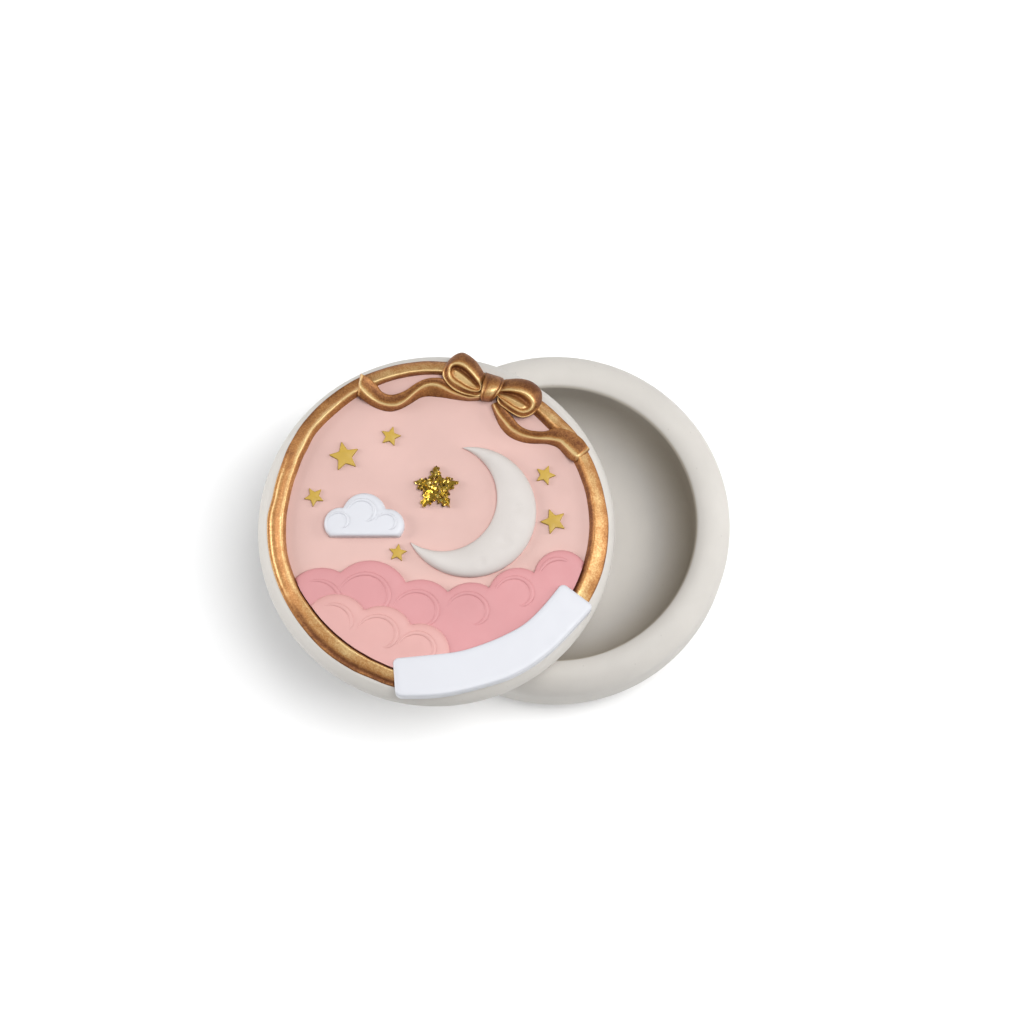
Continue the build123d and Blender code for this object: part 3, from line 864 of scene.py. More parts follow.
class MakeLoops(bpy.types.Operator):
    """Shapes the two loops of the bow, each with its back in painted shade, its rim with a painted highlight
    and the fold in its hollow
    """

    bl_idname = "keepsake.make_loops"
    bl_label = "Bow loops"

    # Each line: where it shows, in millimetres from the ring's middle. Outline, rim and rise go in step
    left_outline = [
        (8.02, 25.3), (7.32, 27.1), (6.38, 28.36), (5.1, 29.35), (4.04, 29.7), (2.6, 29.0), (1.45, 27.6),
        (0.85, 26.2), (1.15, 24.95), (2.6, 23.3), (4.4, 22.4), (6.0, 22.1), (7.4, 22.1),
    ]
    left_rim = [
        (7.32, 23.95), (6.38, 25.51), (5.45, 26.58), (4.51, 27.42), (3.34, 27.78), (2.41, 27.42),
        (2.0, 26.58), (1.94, 25.63), (2.41, 24.79), (3.69, 23.95), (4.98, 23.24), (6.38, 22.88), (7.2, 23.0),
    ]
    left_rise = [1.1, 1.7, 1.95, 2.05, 1.95, 1.7, 1.35, 1.1, 1.05, 1.1, 1.15, 1.1, 0.9]
    left_fold = [(6.75, 23.35), (5.6, 24.4), (4.51, 25.39), (3.7, 26.1), (2.99, 26.62)]
    right_outline = [
        (10.9, 24.7), (12.11, 25.12), (13.9, 25.22), (15.75, 24.75), (17.2, 23.55), (17.55, 22.4),
        (17.3, 20.9), (16.35, 19.3), (14.5, 18.4), (12.95, 18.85), (11.35, 19.95), (9.95, 21.4),
    ]
    right_rim = [
        (10.24, 22.9), (11.2, 23.12), (12.7, 23.12), (14.45, 22.76), (15.5, 22.04), (16.09, 21.2),
        (16.09, 20.49), (15.5, 19.65), (14.33, 19.29), (12.93, 19.89), (11.29, 21.08), (10.05, 22.1),
    ]
    right_rise = [1.2, 1.6, 1.95, 2.0, 1.9, 1.7, 1.4, 1.15, 1.05, 1.1, 1.15, 1.0]
    right_fold = [(10.35, 22.35), (11.3, 22.1), (12.3, 21.65), (13.2, 21.15), (14.3, 20.6)]
    # The point of the outline that is the loop's far tip
    tip_point = 6

    # Rows from the foot to the rim. Each pair is for the loop's open side and for its back: share of the way
    # in to the rim, then height above the ring (on the back as a share of the rim's), then shine
    # The shine is low on the loop's back as painted shade and high at the rim as a painted highlight over the
    # gilt's wear
    swell = [
        ((0.00, 0.00), (0.25, 0.00), (0.62, 0.04)), ((0.14, 0.16), (0.55, 0.42), (1.05, 0.04)),
        ((0.34, 0.34), (0.42, 0.64), (0.42, 0.05)), ((0.60, 0.58), (0.12, 0.84), (0.06, 0.10)),
        ((0.84, 0.84), (0.50, 0.96), (0.70, 0.62)),
    ]
    # Rows from the rim to the fold: share of the way, share of the rim's height that the row starts from,
    # then the pairs of what is added to that and of shine
    # Here the shine paints a highlight on the rim and the fold, and shade down the hollow wall under the rim
    hollow = [
        (0.00, 1, (0.00, 0.00), (1.20, 1.20)), (0.12, 1, (-0.08, -0.08), (1.05, 0.95)),
        (0.30, 1, (-0.52, -1.10), (0.24, 0.10)), (0.48, 0, (0.50, 0.05), (0.80, 0.10)),
        (0.70, 0, (0.70, 0.25), (1.00, 0.24)), (0.88, 0, (0.84, 0.66), (1.00, 0.70)),
        (0.96, 0, (0.92, 0.92), (1.00, 0.95)),
    ]

    def execute(self, context):
        left = (self.left_outline, self.left_rim, self.left_rise, self.left_fold)
        right = (self.right_outline, self.right_rim, self.right_rise, self.right_fold)
        self.loop("bow_loop_left", "bow_left_loop", *left)
        self.loop("bow_loop_right", "bow_right_loop", *right)
        return {"FINISHED"}

    def loop(self, name, node, outline, rim, rises, fold):
        """One loop in rows: foot, outer swell, rim with a painted highlight, hollow wall in painted shade,
        hollow and fold.
        """
        count = 40
        outer, crest = (
            through([(*spot, rise) for spot, rise in zip(line, rises)], count, closed=True)
            for line in (outline, rim))
        spine = through(fold, 30)
        tip = self.tip_point / len(rim)
        inner = [spine[round((len(spine) - 1) * self.along(index / count, tip))] for index in range(count)]

        # 1 along the loop's back, 0 along its open side, where a second layer of ribbon shows under the rim
        back = [self.backness(index / count, tip) for index in range(count)]
        rows, shines = [], []

        def add(places, shine):
            rows.append([seen(*place) for place in places])
            shines.append([between(*shine, b) for b in back])

        # The two foot rows are dark: painted shade where the loop meets the lid
        for lean, rise, shine in ((0.6, -2.2, (0.05, 0.04)), (0.3, -0.9, (0.15, 0.06))):
            add([(o.x, o.y - lean * b, rise) for o, b in zip(outer, back)], shine)
        for share, (low, high), shine in self.swell:
            add([
                (*self.blend(o, c, between(*share, b)), between(low, between(-0.1, c.z, high), b))
                for o, c, b in zip(outer, crest, back)
            ], shine)
        for share, start, rise, shine in self.hollow:
            add([
                (*self.blend(c, s, share), c.z * start + between(*rise, b))
                for c, s, b in zip(crest, inner, back)
            ], shine)
        casting = Casting()
        casting.skin(rows, shines)
        casting.finish(name, "lid", "gilt_paint", [node], gilt(), rounding=2)

    def backness(self, value, tip):
        """How far a row's point belongs to the loop's back: 1 on the back and 0 on the open side."""
        edge = 0.06
        near = min(value + edge, 1.0) / (2 * edge) if value < edge else 1.0
        far = (tip + edge - value) / (2 * edge)
        late = (value - (1 - edge)) / (2 * edge) if value > 1 - edge else 0.0
        return smooth(clamp(min(near, far) if value < 0.8 else late))

    def along(self, value, tip):
        """Where on the fold a row's point looks to: out to the tip and back again."""
        return value / tip if value < tip else (1 - value) / (1 - tip)

    def blend(self, first, second, value):
        """A flat place between two lines."""
        return between(first.x, second.x, value), between(first.y, second.y, value)


class MakeKnot(bpy.types.Operator):
    """Wraps the creased band round the middle of the bow"""

    bl_idname = "keepsake.make_knot"
    bl_label = "Bow knot"

    # How far the creases lean across the band, and the share of the rib that is left at the front
    lean, rib_left = 0.16, 0.3
    # Left and right edge of the band as they show, its height and its shine, from the back to the front
    # The shine column is low at both ends, where the band dips away, as painted shade, and highest on top as
    # a painted highlight
    stations = [
        (8.30, 26.10, 10.90, 25.30, -1.60, 0.10), (8.10, 26.15, 11.15, 25.05, 0.30, 0.15),
        (7.95, 25.65, 11.25, 24.60, 1.40, 0.22), (7.75, 24.90, 11.05, 23.95, 2.05, 0.42),
        (7.55, 24.10, 10.80, 23.30, 2.40, 0.85), (7.35, 23.20, 10.45, 22.75, 2.40, 1.00),
        (7.20, 22.40, 10.05, 22.15, 2.00, 0.75), (7.20, 21.75, 9.65, 21.65, 1.10, 0.40),
        (7.35, 21.35, 9.25, 21.25, -0.20, 0.25), (7.55, 21.15, 8.95, 21.00, -1.90, 0.10),
    ]
    # Across the band: share, drop below its middle in millimetres, and shine. A rib, the broad band and a lip
    # The shine paints highlights on the rib, the band and the lip, and shade in the creases between them and
    # at the edges
    section = [
        (0.00, 1.60, 0.10), (0.01, 0.90, 0.30), (0.05, 0.42, 0.80), (0.11, 0.26, 0.75), (0.17, 0.24, 0.35),
        (0.22, 0.30, 0.10), (0.28, 0.12, 0.60), (0.38, 0.03, 0.75), (0.50, 0.00, 0.80), (0.62, 0.02, 0.90),
        (0.72, 0.10, 0.95), (0.79, 0.24, 0.60), (0.84, 0.46, 0.06), (0.88, 0.30, 0.70), (0.93, 0.34, 0.95),
        (0.97, 0.55, 0.55), (0.99, 0.95, 0.25), (1.00, 1.60, 0.10),
    ]

    def execute(self, context):
        rows, shines = [], []
        lines = through(self.stations, 20)
        for index, (left_x, left_y, right_x, right_y, rise, glow) in enumerate(lines):
            value = index / (len(lines) - 1)
            # The rib fades out towards the front, and the creases lean across the band
            shift = self.lean * sin(value * pi) * (0.5 - value) * 2
            rib = between(1.0, self.rib_left, value)
            places = []
            for across, drop, _ in self.section:
                bent = across + shift * sin(across * pi)
                x, y = between(left_x, right_x, bent), between(left_y, right_y, bent)
                places.append(seen(x, y, rise - (drop * rib if 0.1 < across < 0.3 else drop)))
            rows.append(places)
            shines.append([max(0.04, shine * max(0.0, glow)) for _, _, shine in self.section])
        casting = Casting()
        casting.skin(rows, shines)
        casting.finish("bow_knot_band", "lid", "gilt_paint", ["bow_knot"], gilt(), rounding=2)
        return {"FINISHED"}


class MakeTails(bpy.types.Operator):
    """Lays the two waving ribbon tails from the knot over the disc and the ring"""

    bl_idname = "keepsake.make_tails"
    bl_label = "Ribbon tails"

    # Lines as they show, in millimetres from the ring's middle and above its top, from the end to the knot
    left_back = [
        (-12.55, 25.80, 0.75), (-11.46, 25.43, 0.55), (-10.64, 24.59, 0.25), (-9.94, 23.99, 0.1),
        (-9.47, 23.16, -0.1), (-8.65, 22.56, -0.3), (-7.48, 22.32, -0.4), (-6.31, 22.62, -0.4),
        (-5.14, 23.16, -0.35), (-3.97, 23.99, -0.3), (-2.80, 24.71, -0.2), (-1.63, 25.13, -0.1),
        (-0.58, 25.25, 0.0), (0.70, 25.19, 0.0), (1.9, 24.5, -0.2), (3.4, 23.5, -0.4), (5.2, 22.7, -0.4),
        (7.3, 22.6, -0.3),
    ]
    left_crest = [
        (-12.95, 24.10, 1.15), (-12.55, 23.28, 1.05), (-11.81, 22.44, 0.85), (-10.76, 21.60, 0.6),
        (-9.59, 20.94, 0.45), (-8.42, 20.59, 0.4), (-7.25, 20.47, 0.4), (-6.08, 20.76, 0.4),
        (-4.91, 21.60, 0.45), (-3.74, 22.68, 0.5), (-2.57, 23.63, 0.5), (-1.40, 24.11, 0.5),
        (-0.23, 24.11, 0.5), (0.94, 23.63, 0.45), (2.11, 22.92, 0.4), (3.04, 22.50, 0.4),
        (4.51, 22.04, 0.35), (5.45, 21.80, 0.3), (7.30, 21.95, 0.3),
    ]
    left_front = [
        (-13.25, 22.10, 0.0), (-12.16, 21.24, -0.6), (-10.99, 20.41, -1.3), (-9.82, 19.81, -1.6),
        (-8.65, 19.45, -1.6), (-7.48, 19.39, -1.6), (-6.31, 19.69, -1.6), (-5.14, 20.23, -1.6),
        (-3.97, 20.94, -1.6), (-2.80, 21.66, -1.6), (-1.63, 21.90, -1.6), (-0.46, 21.84, -1.6),
        (1.29, 21.66, -1.6), (3.04, 21.42, -1.6), (5.10, 21.20, -1.6), (7.30, 21.30, -1.6),
    ]
    right_back = [
        (25.28, 13.28, 0.85), (24.45, 14.55, 0.75), (23.34, 15.54, 0.6), (21.82, 16.38, 0.45),
        (20.58, 16.67, 0.2), (19.33, 16.60, 0.0), (18.50, 16.24, -0.2), (17.67, 16.10, -0.35),
        (16.57, 16.17, -0.4), (15.46, 16.31, -0.4), (14.36, 16.74, -0.4), (13.39, 17.52, -0.4),
        (12.60, 18.60, -0.3), (11.50, 19.80, -0.2), (10.20, 21.30, -0.2),
    ]
    right_crest = [
        (23.60, 11.70, 1.15), (22.93, 12.08, 1.1), (22.10, 12.85, 1.0), (21.27, 13.70, 0.85),
        (20.58, 14.34, 0.7), (19.61, 14.62, 0.55), (18.23, 14.76, 0.45), (16.57, 14.90, 0.4),
        (15.05, 15.18, 0.4), (13.67, 15.68, 0.4), (12.28, 16.53, 0.4), (11.18, 17.80, 0.4),
        (10.07, 19.21, 0.4), (9.30, 20.90, 0.35),
    ]
    right_front = [
        (22.79, 10.88, -0.3), (21.96, 11.30, -0.8), (20.99, 12.29, -1.4), (20.16, 13.14, -1.6),
        (19.19, 13.63, -1.6), (17.81, 13.91, -1.6), (16.02, 13.91, -1.6), (14.36, 14.12, -1.6),
        (12.70, 14.69, -1.6), (11.46, 15.54, -1.6), (10.35, 16.95, -1.6), (9.66, 18.50, -1.6),
        (8.90, 20.70, -1.6),
    ]

    # Across a tail: how far on from its back line, 0, over its crest, 1, to its front, 2; drop; shine
    # The shine paints a highlight along the crest, and shade on the back wall, in the hollow and down the
    # front wall
    section = [
        (0.00, 0.35, 0.15), (0.00, 0.00, 0.40), (0.12, 0.02, 0.24), (0.35, 0.22, 0.10), (0.60, 0.22, 0.16),
        (0.82, 0.06, 0.62), (0.94, 0.00, 1.20), (1.00, 0.00, 1.30), (1.06, 0.00, 1.10), (1.18, 0.00, 0.52),
        (1.50, 0.00, 0.30), (1.82, 0.00, 0.18), (2.00, 0.00, 0.05),
    ]
    # How far the end slopes out, how deep it ends, and the shine of its lip, a painted highlight
    end_reach, end_rise, end_shine = 0.5, -1.2, 0.95

    def execute(self, context):
        left = (self.left_back, self.left_crest, self.left_front)
        right = (self.right_back, self.right_crest, self.right_front)
        self.tail("ribbon_tail_left", "ribbon_left_tail", left)
        self.tail("ribbon_tail_right", "ribbon_right_tail", right)
        return {"FINISHED"}

    def tail(self, name, node, lines):
        """One tail in rows across: back wall, hollow upper face, crest with a painted highlight, and sloping
        front wall.
        """
        count = 44
        lines = [through(points, count) for points in lines]
        rows, shines = [], []
        for index in range(count):
            rear, edge, foot = (line[index] for line in lines)
            row = [(Vector((rear.x, rear.y, -2.0)), 0.05)]
            for along, drop, shine in self.section:
                place = rear.lerp(edge, along) if along <= 1 else edge.lerp(foot, along - 1)
                row.append((place - Vector((0, 0, drop)), shine))
            row.append((Vector((foot.x, foot.y, -2.1)), 0.0))
            if index == 0:
                ahead = (edge - lines[1][1]).xy.normalized() * self.end_reach
                ends = [(*(place.xy + ahead), min(place.z, self.end_rise)) for place, _ in row]
                rows.append([seen(*place) for place in ends])
                # A dark end face, painted shade under the lip; the lip itself gets the painted highlight
                shines.append([0.04] * len(row))
                row = [(place, max(shine, self.end_shine) if place.z > 0 else shine) for place, shine in row]
            rows.append([seen(*place) for place, _ in row])
            shines.append([shine for _, shine in row])
        casting = Casting()
        casting.skin(rows, shines)
        casting.finish(name, "lid", "gilt_paint", [node], gilt(), rounding=1)


def crossings(first, reach, second, other):
    """Where two circles of given radius cross, left and right of the way from the first to the second."""
    gap = (second - first).length
    way = (second - first) / gap
    along = (reach**2 - other**2 + gap**2) / (2 * gap)
    side = Vector((-way.y, way.x)) * sqrt(max(reach**2 - along**2, 0.0))
    return first + way * along + side, first + way * along - side


class MakeMoon(bpy.types.Operator):
    """Swells the crescent moon between its two arcs"""

    bl_idname = "keepsake.make_moon"
    bl_label = "Crescent moon"

    # In shares of the disc's radius: its middle, its outer and inner arc's radius, and how far apart they lie
    middle, big, small, apart = (0.225, 0.085), 0.45, 0.37, 0.21
    # The way it opens, in degrees, and the width from which it has its full height
    opening, full_width = 152, 3.2 * MM
    # Dents: place and radius in shares of the disc's radius, and depth in millimetres
    dents = [(0.46, -0.13, 0.075, 0.28), (0.545, 0.10, 0.045, 0.2), (0.30, -0.27, 0.05, 0.22)]

    def execute(self, context):
        sizes, colours = settings()
        radius = sizes.field_radius
        centre = Vector(self.middle) * radius
        hollow = centre + heading(radians(self.opening)) * (self.apart * radius)
        big, small = self.big * radius, self.small * radius
        tips = crossings(centre, big, hollow, small)
        stations, across = 110, 26
        rows = []
        for station in range(1, stations):
            value = station / stations
            outer = self.on_arc(centre, big, tips, value)
            inner = self.on_arc(hollow, small, tips, value)
            rise = sizes.moon_height * min(1.0, ((inner - outer).length / self.full_width) ** 0.6)
            places = []
            for step in range(across + 1):
                turn = pi * step / across
                flat = outer.lerp(inner, 0.5 - 0.5 * cos(turn))
                up = rise * sin(turn) ** 0.62
                up -= self.dent(flat, radius) * min(1.0, sin(turn) * 1.4)
                places.append((flat.x, flat.y, up if 0 < step < across else -0.1 * MM))
            rows.append(places)
        casting = Casting()
        casting.skin(rows)
        # The moon's foot takes the outline colour as a line of painted shade
        dove, line = tuple(colours.dove), tuple(colours.outline)
        material = finish_of("dove_paint", paint_finish, dove, 0.55, line=line)
        place = (*LID_AXIS, FIELD_LEVEL)
        casting.finish("moon_relief", "lid", "dove_paint", ["crescent_moon"], material, place, sharp=75)
        return {"FINISHED"}

    def on_arc(self, centre, radius, tips, value):
        """A place on an arc from one tip of the moon to the other, round its far side."""
        start, end = (atan2(tip.y - centre.y, tip.x - centre.x) for tip in tips)
        while end < start:
            end += FULL_TURN
        angle = between(start, end, value)
        return centre + heading(angle) * radius

    def dent(self, flat, radius):
        """Shallow round dents in the moon's face."""
        depth = 0.0
        for x, y, reach, deep in self.dents:
            away = (flat - Vector((x, y)) * radius).length / (reach * radius)
            if away < 1:
                depth += deep * MM * (1 - away**2) ** 2
        return depth


class MakeClouds(bpy.types.Operator):
    """Builds the far and near banks of cloud, and the small white cloud"""

    bl_idname = "keepsake.make_clouds"
    bl_label = "Clouds"

    # Lobes from left to right: middle and radius, in shares of the disc's radius
    far_lobes = [
        (-0.76, -0.56, 0.26), (-0.44, -0.52, 0.27), (-0.10, -0.62, 0.24),
        (0.24, -0.62, 0.22), (0.55, -0.50, 0.20), (0.84, -0.36, 0.18),
    ]
    near_lobes = [(-0.66, -0.70, 0.22), (-0.36, -0.78, 0.22), (-0.10, -0.88, 0.20)]
    white_lobes = [(-0.64, 0.00, 0.11), (-0.48, 0.06, 0.15), (-0.32, -0.01, 0.11)]
    # Height of the small cloud's flat foot on the disc, in shares of its radius
    white_foot = -0.09
    # Rows up a cloud's side: how far in towards a lobe's middle, and share of the height
    profile = [
        (0.0, -0.1), (0.0, 0.45), (0.015, 0.66), (0.05, 0.80), (0.11, 0.90), (0.20, 0.96), (0.32, 0.99),
        (0.45, 1.0),
    ]
    # A ridge winds between two angles in degrees and two shares of its lobe's radius, and stays this near to
    # the disc's middle, in shares of the disc's radius
    ridge_turn, ridge_reach, ridge_limit = (170, -85), (0.80, 0.30), 0.94

    def execute(self, context):
        sizes, colours = settings()
        far, near, white = sizes.cloud_height, sizes.near_cloud_height, sizes.white_cloud_height
        # Each bank's foot line is its rose made darker: painted shade where it meets the disc
        rose = finish_of("rose_paint", paint_finish, tuple(colours.rose), line=shade(colours.rose, 0.72))
        blush = finish_of("blush_paint", paint_finish, tuple(colours.blush), line=shade(colours.rose, 0.8))
        self.cloud("cloud_bank_far", "cloud_bank", "rose_paint", rose, self.far_lobes, far)
        self.cloud("cloud_bank_near", "near_cloud_bank", "blush_paint", blush, self.near_lobes, near)
        self.cloud(
            "small_white_cloud", "white_cloud", "white_gloss_paint", white_gloss(),
            self.white_lobes, white, self.white_foot)
        return {"FINISHED"}

    def crossing(self, first, second):
        """Where two neighbouring lobes cross, on their upper side."""
        return crossings(Vector(first[:2]), first[2], Vector(second[:2]), second[2])[0]

    def edge_of(self, lobes, flat):
        """The cloud's outline from left to right along its lobes, and the centre that each point leans to."""
        outline = []
        for index, (x, y, r) in enumerate(lobes):
            centre = Vector((x, y))
            if index:
                start = self.crossing(lobes[index - 1], (x, y, r))
                first = atan2(start.y - y, start.x - x)
            else:
                first = self.bound(centre, r, flat, left=True)
            if index < len(lobes) - 1:
                end = self.crossing((x, y, r), lobes[index + 1])
                last = atan2(end.y - y, end.x - x)
            else:
                last = self.bound(centre, r, flat, left=False)
            while last > first:
                last -= FULL_TURN
            count = max(6, round((first - last) * r * 60))
            for step in range(1 if index else 0, count + 1):
                outline.append((centre + heading(between(first, last, step / count)) * r, centre))
        return outline

    def beside_ring(self, angle):
        """A place just under the ring's inner edge, from radians to shares of the disc's radius."""
        outer, inner = ring_edge(degrees(angle))
        return (inner.lerp(outer, 0.03).xy - Vector(LID_AXIS)) / FIELD_RADIUS

    def bound(self, centre, r, flat, left):
        """The angle where an end lobe meets the ring, or the small cloud's flat foot."""
        if flat is not None:
            turn = asin((flat - centre.y) / r)
            return pi - turn if left else turn
        reach, lean = centre.length, atan2(centre.y, centre.x)
        rim = self.beside_ring(lean + (-1 if left else 1) * r / reach).length
        swing = (reach**2 + r**2 - rim**2) / (2 * reach * r)
        turn = acos(swing) if abs(swing) < 1 else 0.0
        return lean + pi + (turn if left else -turn)

    def cloud(self, name, node, slot, material, lobes, rise, flat=None):
        """One cloud: walls up from the disc, then rows that lean in towards each lobe's middle."""
        outline = self.edge_of(lobes, flat)
        first, last = outline[0][0], outline[-1][0]
        if flat is None:
            start, end = atan2(first.y, first.x), atan2(last.y, last.x)
            while start > end:
                start -= FULL_TURN
            spots = [self.beside_ring(between(end, start, step / 60)) for step in range(1, 60)]
            outline += [(spot, spot) for spot in spots]
        else:
            middle = (last + first) / 2 + Vector((0, 0.06))
            outline += [(last.lerp(first, step / 16), middle) for step in range(1, 16)]
        rows = []
        for inward, up in self.profile:
            rows.append([on_field(*spot.lerp(centre, inward), rise * up) for spot, centre in outline])
        casting = Casting()
        casting.skin(rows)
        for lobe in lobes:
            self.curl(casting, lobe, rise)
        casting.finish(name, "lid", slot, [node], material, sharp=70)

    def curl(self, casting, lobe, rise):
        """A low ridge that winds in from a lobe's edge, fading out at both ends."""
        x, y, r = lobe
        count = 40
        spots = []
        for step in range(count + 1):
            turn = heading(radians(between(*self.ridge_turn, step / count)))
            spots.append(Vector((x, y)) + turn * r * between(*self.ridge_reach, step / count))
        # Where the ring would cut the ridge, the longest run clear of it is kept
        runs = [[]]
        for spot in spots:
            if spot.length < self.ridge_limit:
                runs[-1].append(spot)
            elif runs[-1]:
                runs.append([])
        spots = max(runs, key=len)
        rows = []
        for index, spot in enumerate(spots):
            before, after = spots[max(index - 1, 0)], spots[min(index + 1, len(spots) - 1)]
            side = Vector((before.y - after.y, after.x - before.x)).normalized()
            fade = max(0.04, sin(pi * index / (len(spots) - 1))) ** 0.5
            width = CURL_WIDTH * fade / FIELD_RADIUS * min(1.0, r / 0.18)
            row = []
            for turn in range(9):
                lean = pi * turn / 8
                place = spot + side * (cos(lean) * width)
                row.append(on_field(place.x, place.y, rise + CURL_HEIGHT * (sin(lean) * fade * 1.3 - 0.3)))
            rows.append(row)
        casting.skin(rows)


def star_corners(radius, turn, waist):
    """The corners of a five pointed star, turned by degrees, with its waist a share of its radius."""
    reaches = [radius * (waist if step % 2 else 1.0) for step in range(10)]
    return [heading(radians(90 + turn + step * 36)) * reach for step, reach in enumerate(reaches)]


def raise_star(casting, centre, outline, rise, profile):
    """A star in rows. Each row gives its share of the outline and of the height, and its shine."""
    rows = []
    for scale, up, _ in profile:
        foot = on_field(*centre, rise * up)
        rows.append([foot + Vector((spot.x * scale, spot.y * scale, 0)) for spot in outline])
    casting.skin(rows, [[shine] * len(outline) for _, _, shine in profile])


class MakeStars(bpy.types.Operator):
    """Raises the flat stars with rounded points"""

    bl_idname = "keepsake.make_stars"
    bl_label = "Flat stars"

    # Centre as shares of the disc's radius, size as a share of the largest, and turn in degrees
    places = [
        (-0.62, 0.47, 1.00, 12.0), (-0.31, 0.61, 0.68, -14.0), (-0.82, 0.19, 0.66, 30.0),
        (-0.255, -0.195, 0.60, -8.0), (0.79, 0.02, 0.86, 20.0), (0.735, 0.34, 0.68, -20.0),
    ]
    # Rows: share of the outline, share of the height, and shine
    profile = [(1.0, -0.1, 0.0), (1.0, 0.5, 0.1), (0.985, 0.8, 0.25), (0.94, 0.95, 0.6), (0.86, 1.0, 1.0)]
    # The largest star's radius in shares of the disc's, and a star's waist in shares of its own
    largest, waist = 0.108, 0.46

    def execute(self, context):
        sizes, colours = settings()
        casting = Casting()
        for x, y, size, turn in self.places:
            corners = star_corners(size * self.largest * sizes.field_radius, turn, self.waist)
            outline = through(self.softened(corners), 60, closed=True)
            raise_star(casting, (x, y), outline, sizes.star_height, self.profile)
        material = finish_of("mustard_paint", mustard_finish, tuple(colours.mustard))
        casting.finish("flat_stars", "lid", "mustard_paint", ["gold_stars"], material, sharp=70)
        return {"FINISHED"}

    def softened(self, corners):
        """Corners doubled up near each point, so that the smooth line rounds it only a little."""
        points = []
        for before, corner, after in zip(corners[-1:] + corners, corners, corners[1:] + corners[:1]):
            inside = corner.lerp((before + after) / 2, 0.03)
            points += [corner.lerp(before, 0.22), inside, corner.lerp(after, 0.22)]
        return points


class MakeGlitterStar(bpy.types.Operator):
    """Raises the thick star and scatters glitter chips over it"""

    bl_idname = "keepsake.make_glitter_star"
    bl_label = "Glitter star"

    # Its middle, radius and waist in shares of the disc's radius and of its own
    centre, radius, waist = (0.0, 0.245), 0.16, 0.5
    # Rows: share of the outline, height in millimetres, and shine
    profile = [(1.0, -0.1, 0.3), (1.0, 0.6, 0.35), (0.95, 0.85, 0.5), (0.6, 1.25, 0.6), (0.25, 1.6, 0.6)]
    # Chips: how far they tilt in degrees, and their smallest and largest radius
    tilt, smallest, largest = 24, 0.16 * MM, 0.34 * MM
    seed = 7

    def execute(self, context):
        sizes, colours = settings()
        radius = self.radius * sizes.field_radius
        casting = Casting()
        corners = star_corners(radius, 0.0, self.waist)
        outline = [
            corner.lerp(after, step / 3) for corner, after in zip(corners, corners[1:] + corners[:1])
            for step in range(3)
        ]
        raise_star(casting, self.centre, outline, MM, self.profile)
        self.scatter(casting, radius, sizes.chip_count)
        material = finish_of("gold_glitter", glitter_finish, tuple(colours.glitter))
        casting.finish("glitter_star_relief", "lid", "gold_glitter", ["glitter_star"], material, sharp=25)
        return {"FINISHED"}

    def scatter(self, casting, radius, count):
        """Small thin chips at odd tilts, on a dome over the star."""
        chance = random.Random(self.seed)
        made = 0
        while made < count:
            angle, reach = chance.uniform(0, FULL_TURN), radius * sqrt(chance.random())
            # 1 half way between two of the star's points, 0 on a point
            spoke = 1 - abs(((angle - pi / 2) / (pi / 5)) % 2 - 1)
            limit = radius * between(0.98, self.waist, spoke)
            if reach > limit:
                continue
            level = between(1.75, 0.55, (reach / limit) ** 1.5) * MM
            spot = on_field(*self.centre, level) + Vector((reach * cos(angle), reach * sin(angle), 0))
            size = chance.uniform(self.smallest, self.largest)
            tilts = [Matrix.Rotation(radians(chance.gauss(0, self.tilt)), 4, axis) for axis in "XY"]
            spin = Matrix.Rotation(chance.uniform(0, FULL_TURN), 4, "Z")
            chip = bmesh.ops.create_cone(
                casting.mesh, cap_ends=True, segments=6, radius1=size, radius2=size * 0.82, depth=size * 0.5,
                matrix=Matrix.Translation(spot) @ tilts[0] @ tilts[1] @ spin,
            )
            tone = chance.random()
            for vert in chip["verts"]:
                vert[casting.shine] = tone
            made += 1


# Studio

# Each light: its name, its place, its width, and its power in watts
LIGHTS = (
    ("key_light", (0.20, -0.015, 0.72), 0.40, 4.1),
    ("left_light", (-0.55, 0.06, 0.24), 0.30, 2.1),
    ("right_light", (0.55, 0.06, 0.28), 0.30, 1.6),
)
LIGHT_AIM = Vector((0, 0, 0.015))
WORLD_COLOUR = (0.96, 0.98, 1.0, 1.0)
WORLD_STRENGTH = 0.26


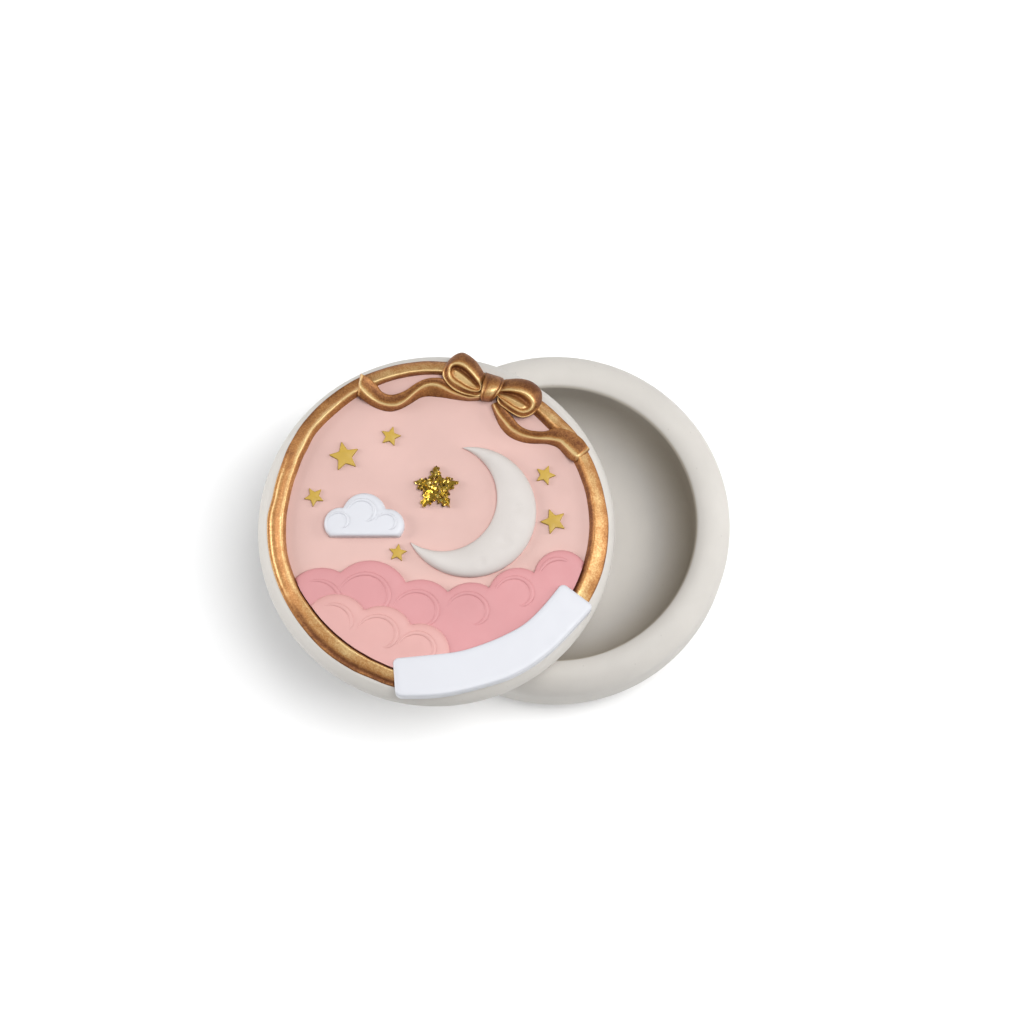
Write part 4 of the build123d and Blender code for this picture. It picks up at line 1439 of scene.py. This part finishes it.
class SetStage(bpy.types.Operator):
    """Lays the pale floor and sets the soft lights and the camera"""

    bl_idname = "keepsake.set_stage"
    bl_label = "Floor, lights and camera"

    def execute(self, context):
        scene = context.scene
        size = scene.keepsake_sizes.floor_size
        mesh = bmesh.new()
        bmesh.ops.create_grid(mesh, x_segments=4, y_segments=4, size=size / 2)
        data = bpy.data.meshes.new("studio_floor")
        mesh.to_mesh(data)
        mesh.free()
        data.materials.append(finish_of("white_paper", backdrop_finish))
        floor = bpy.data.objects.new("studio_floor", data)
        scene.collection.objects.link(floor)
        for values in LIGHTS:
            self.light(*values)
        scene.world = bpy.data.worlds.new("studio_world")
        scene.world.use_nodes = True
        background = scene.world.node_tree.nodes["Background"]
        background.inputs["Color"].default_value = WORLD_COLOUR
        background.inputs["Strength"].default_value = WORLD_STRENGTH
        scene.view_settings.view_transform = "Standard"
        self.camera(scene)
        return {"FINISHED"}

    def light(self, name, place, size, power):
        """A soft square light that looks at the box."""
        data = bpy.data.lights.new(name, "AREA")
        data.size = size
        data.energy = power
        lamp = bpy.data.objects.new(name, data)
        lamp.location = place
        lamp.rotation_euler = (LIGHT_AIM - Vector(place)).to_track_quat("-Z", "Y").to_euler()
        bpy.context.scene.collection.objects.link(lamp)

    def camera(self, scene):
        """The camera above the box, leaning a little to its front."""
        data = bpy.data.cameras.new("studio_camera")
        data.lens = CAMERA_LENS
        data.clip_start = 0.01
        data.clip_end = 20.0
        camera = bpy.data.objects.new("studio_camera", data)
        camera.location = CAMERA_PLACE
        camera.rotation_euler = (CAMERA_TARGET - CAMERA_PLACE).to_track_quat("-Z", "Y").to_euler()
        scene.collection.objects.link(camera)
        scene.camera = camera


OPERATORS = (
    MakeBowl, MakeLid, MakeField, MakeRing, MakeBanner, MakeLoops, MakeKnot, MakeTails,
    MakeMoon, MakeClouds, MakeStars, MakeGlitterStar, SetStage,
)


class KeepsakePanel(bpy.types.Panel):
    """Lists what the box is made of"""

    bl_idname = "VIEW3D_PT_keepsake"
    bl_label = "Keepsake box"
    bl_space_type = "VIEW_3D"
    bl_region_type = "UI"
    bl_category = "Keepsake"

    def draw(self, context):
        for operator in OPERATORS:
            self.layout.operator(operator.bl_idname)
        for group in (context.scene.keepsake_sizes, context.scene.keepsake_colours):
            box = self.layout.box()
            for name in group.bl_rna.properties.keys():
                if name not in ("rna_type", "name"):
                    box.prop(group, name)


CLASSES = (KeepsakeSizes, KeepsakeColours, *OPERATORS, KeepsakePanel)


def register():
    for item in CLASSES:
        bpy.utils.register_class(item)
    bpy.types.Scene.keepsake_sizes = PointerProperty(type=KeepsakeSizes)
    bpy.types.Scene.keepsake_colours = PointerProperty(type=KeepsakeColours)


def unregister():
    del bpy.types.Scene.keepsake_colours
    del bpy.types.Scene.keepsake_sizes
    for item in reversed(CLASSES):
        bpy.utils.unregister_class(item)


def corners(box):
    """A box's corners as plain lists."""
    return [[float(value) for value in corner] for corner in box]


def main():
    """Makes every piece and the stage."""
    register()
    for operator in OPERATORS:
        group, name = operator.bl_idname.split(".")
        getattr(getattr(bpy.ops, group), name)()


if __name__ == "__main__":
    main()
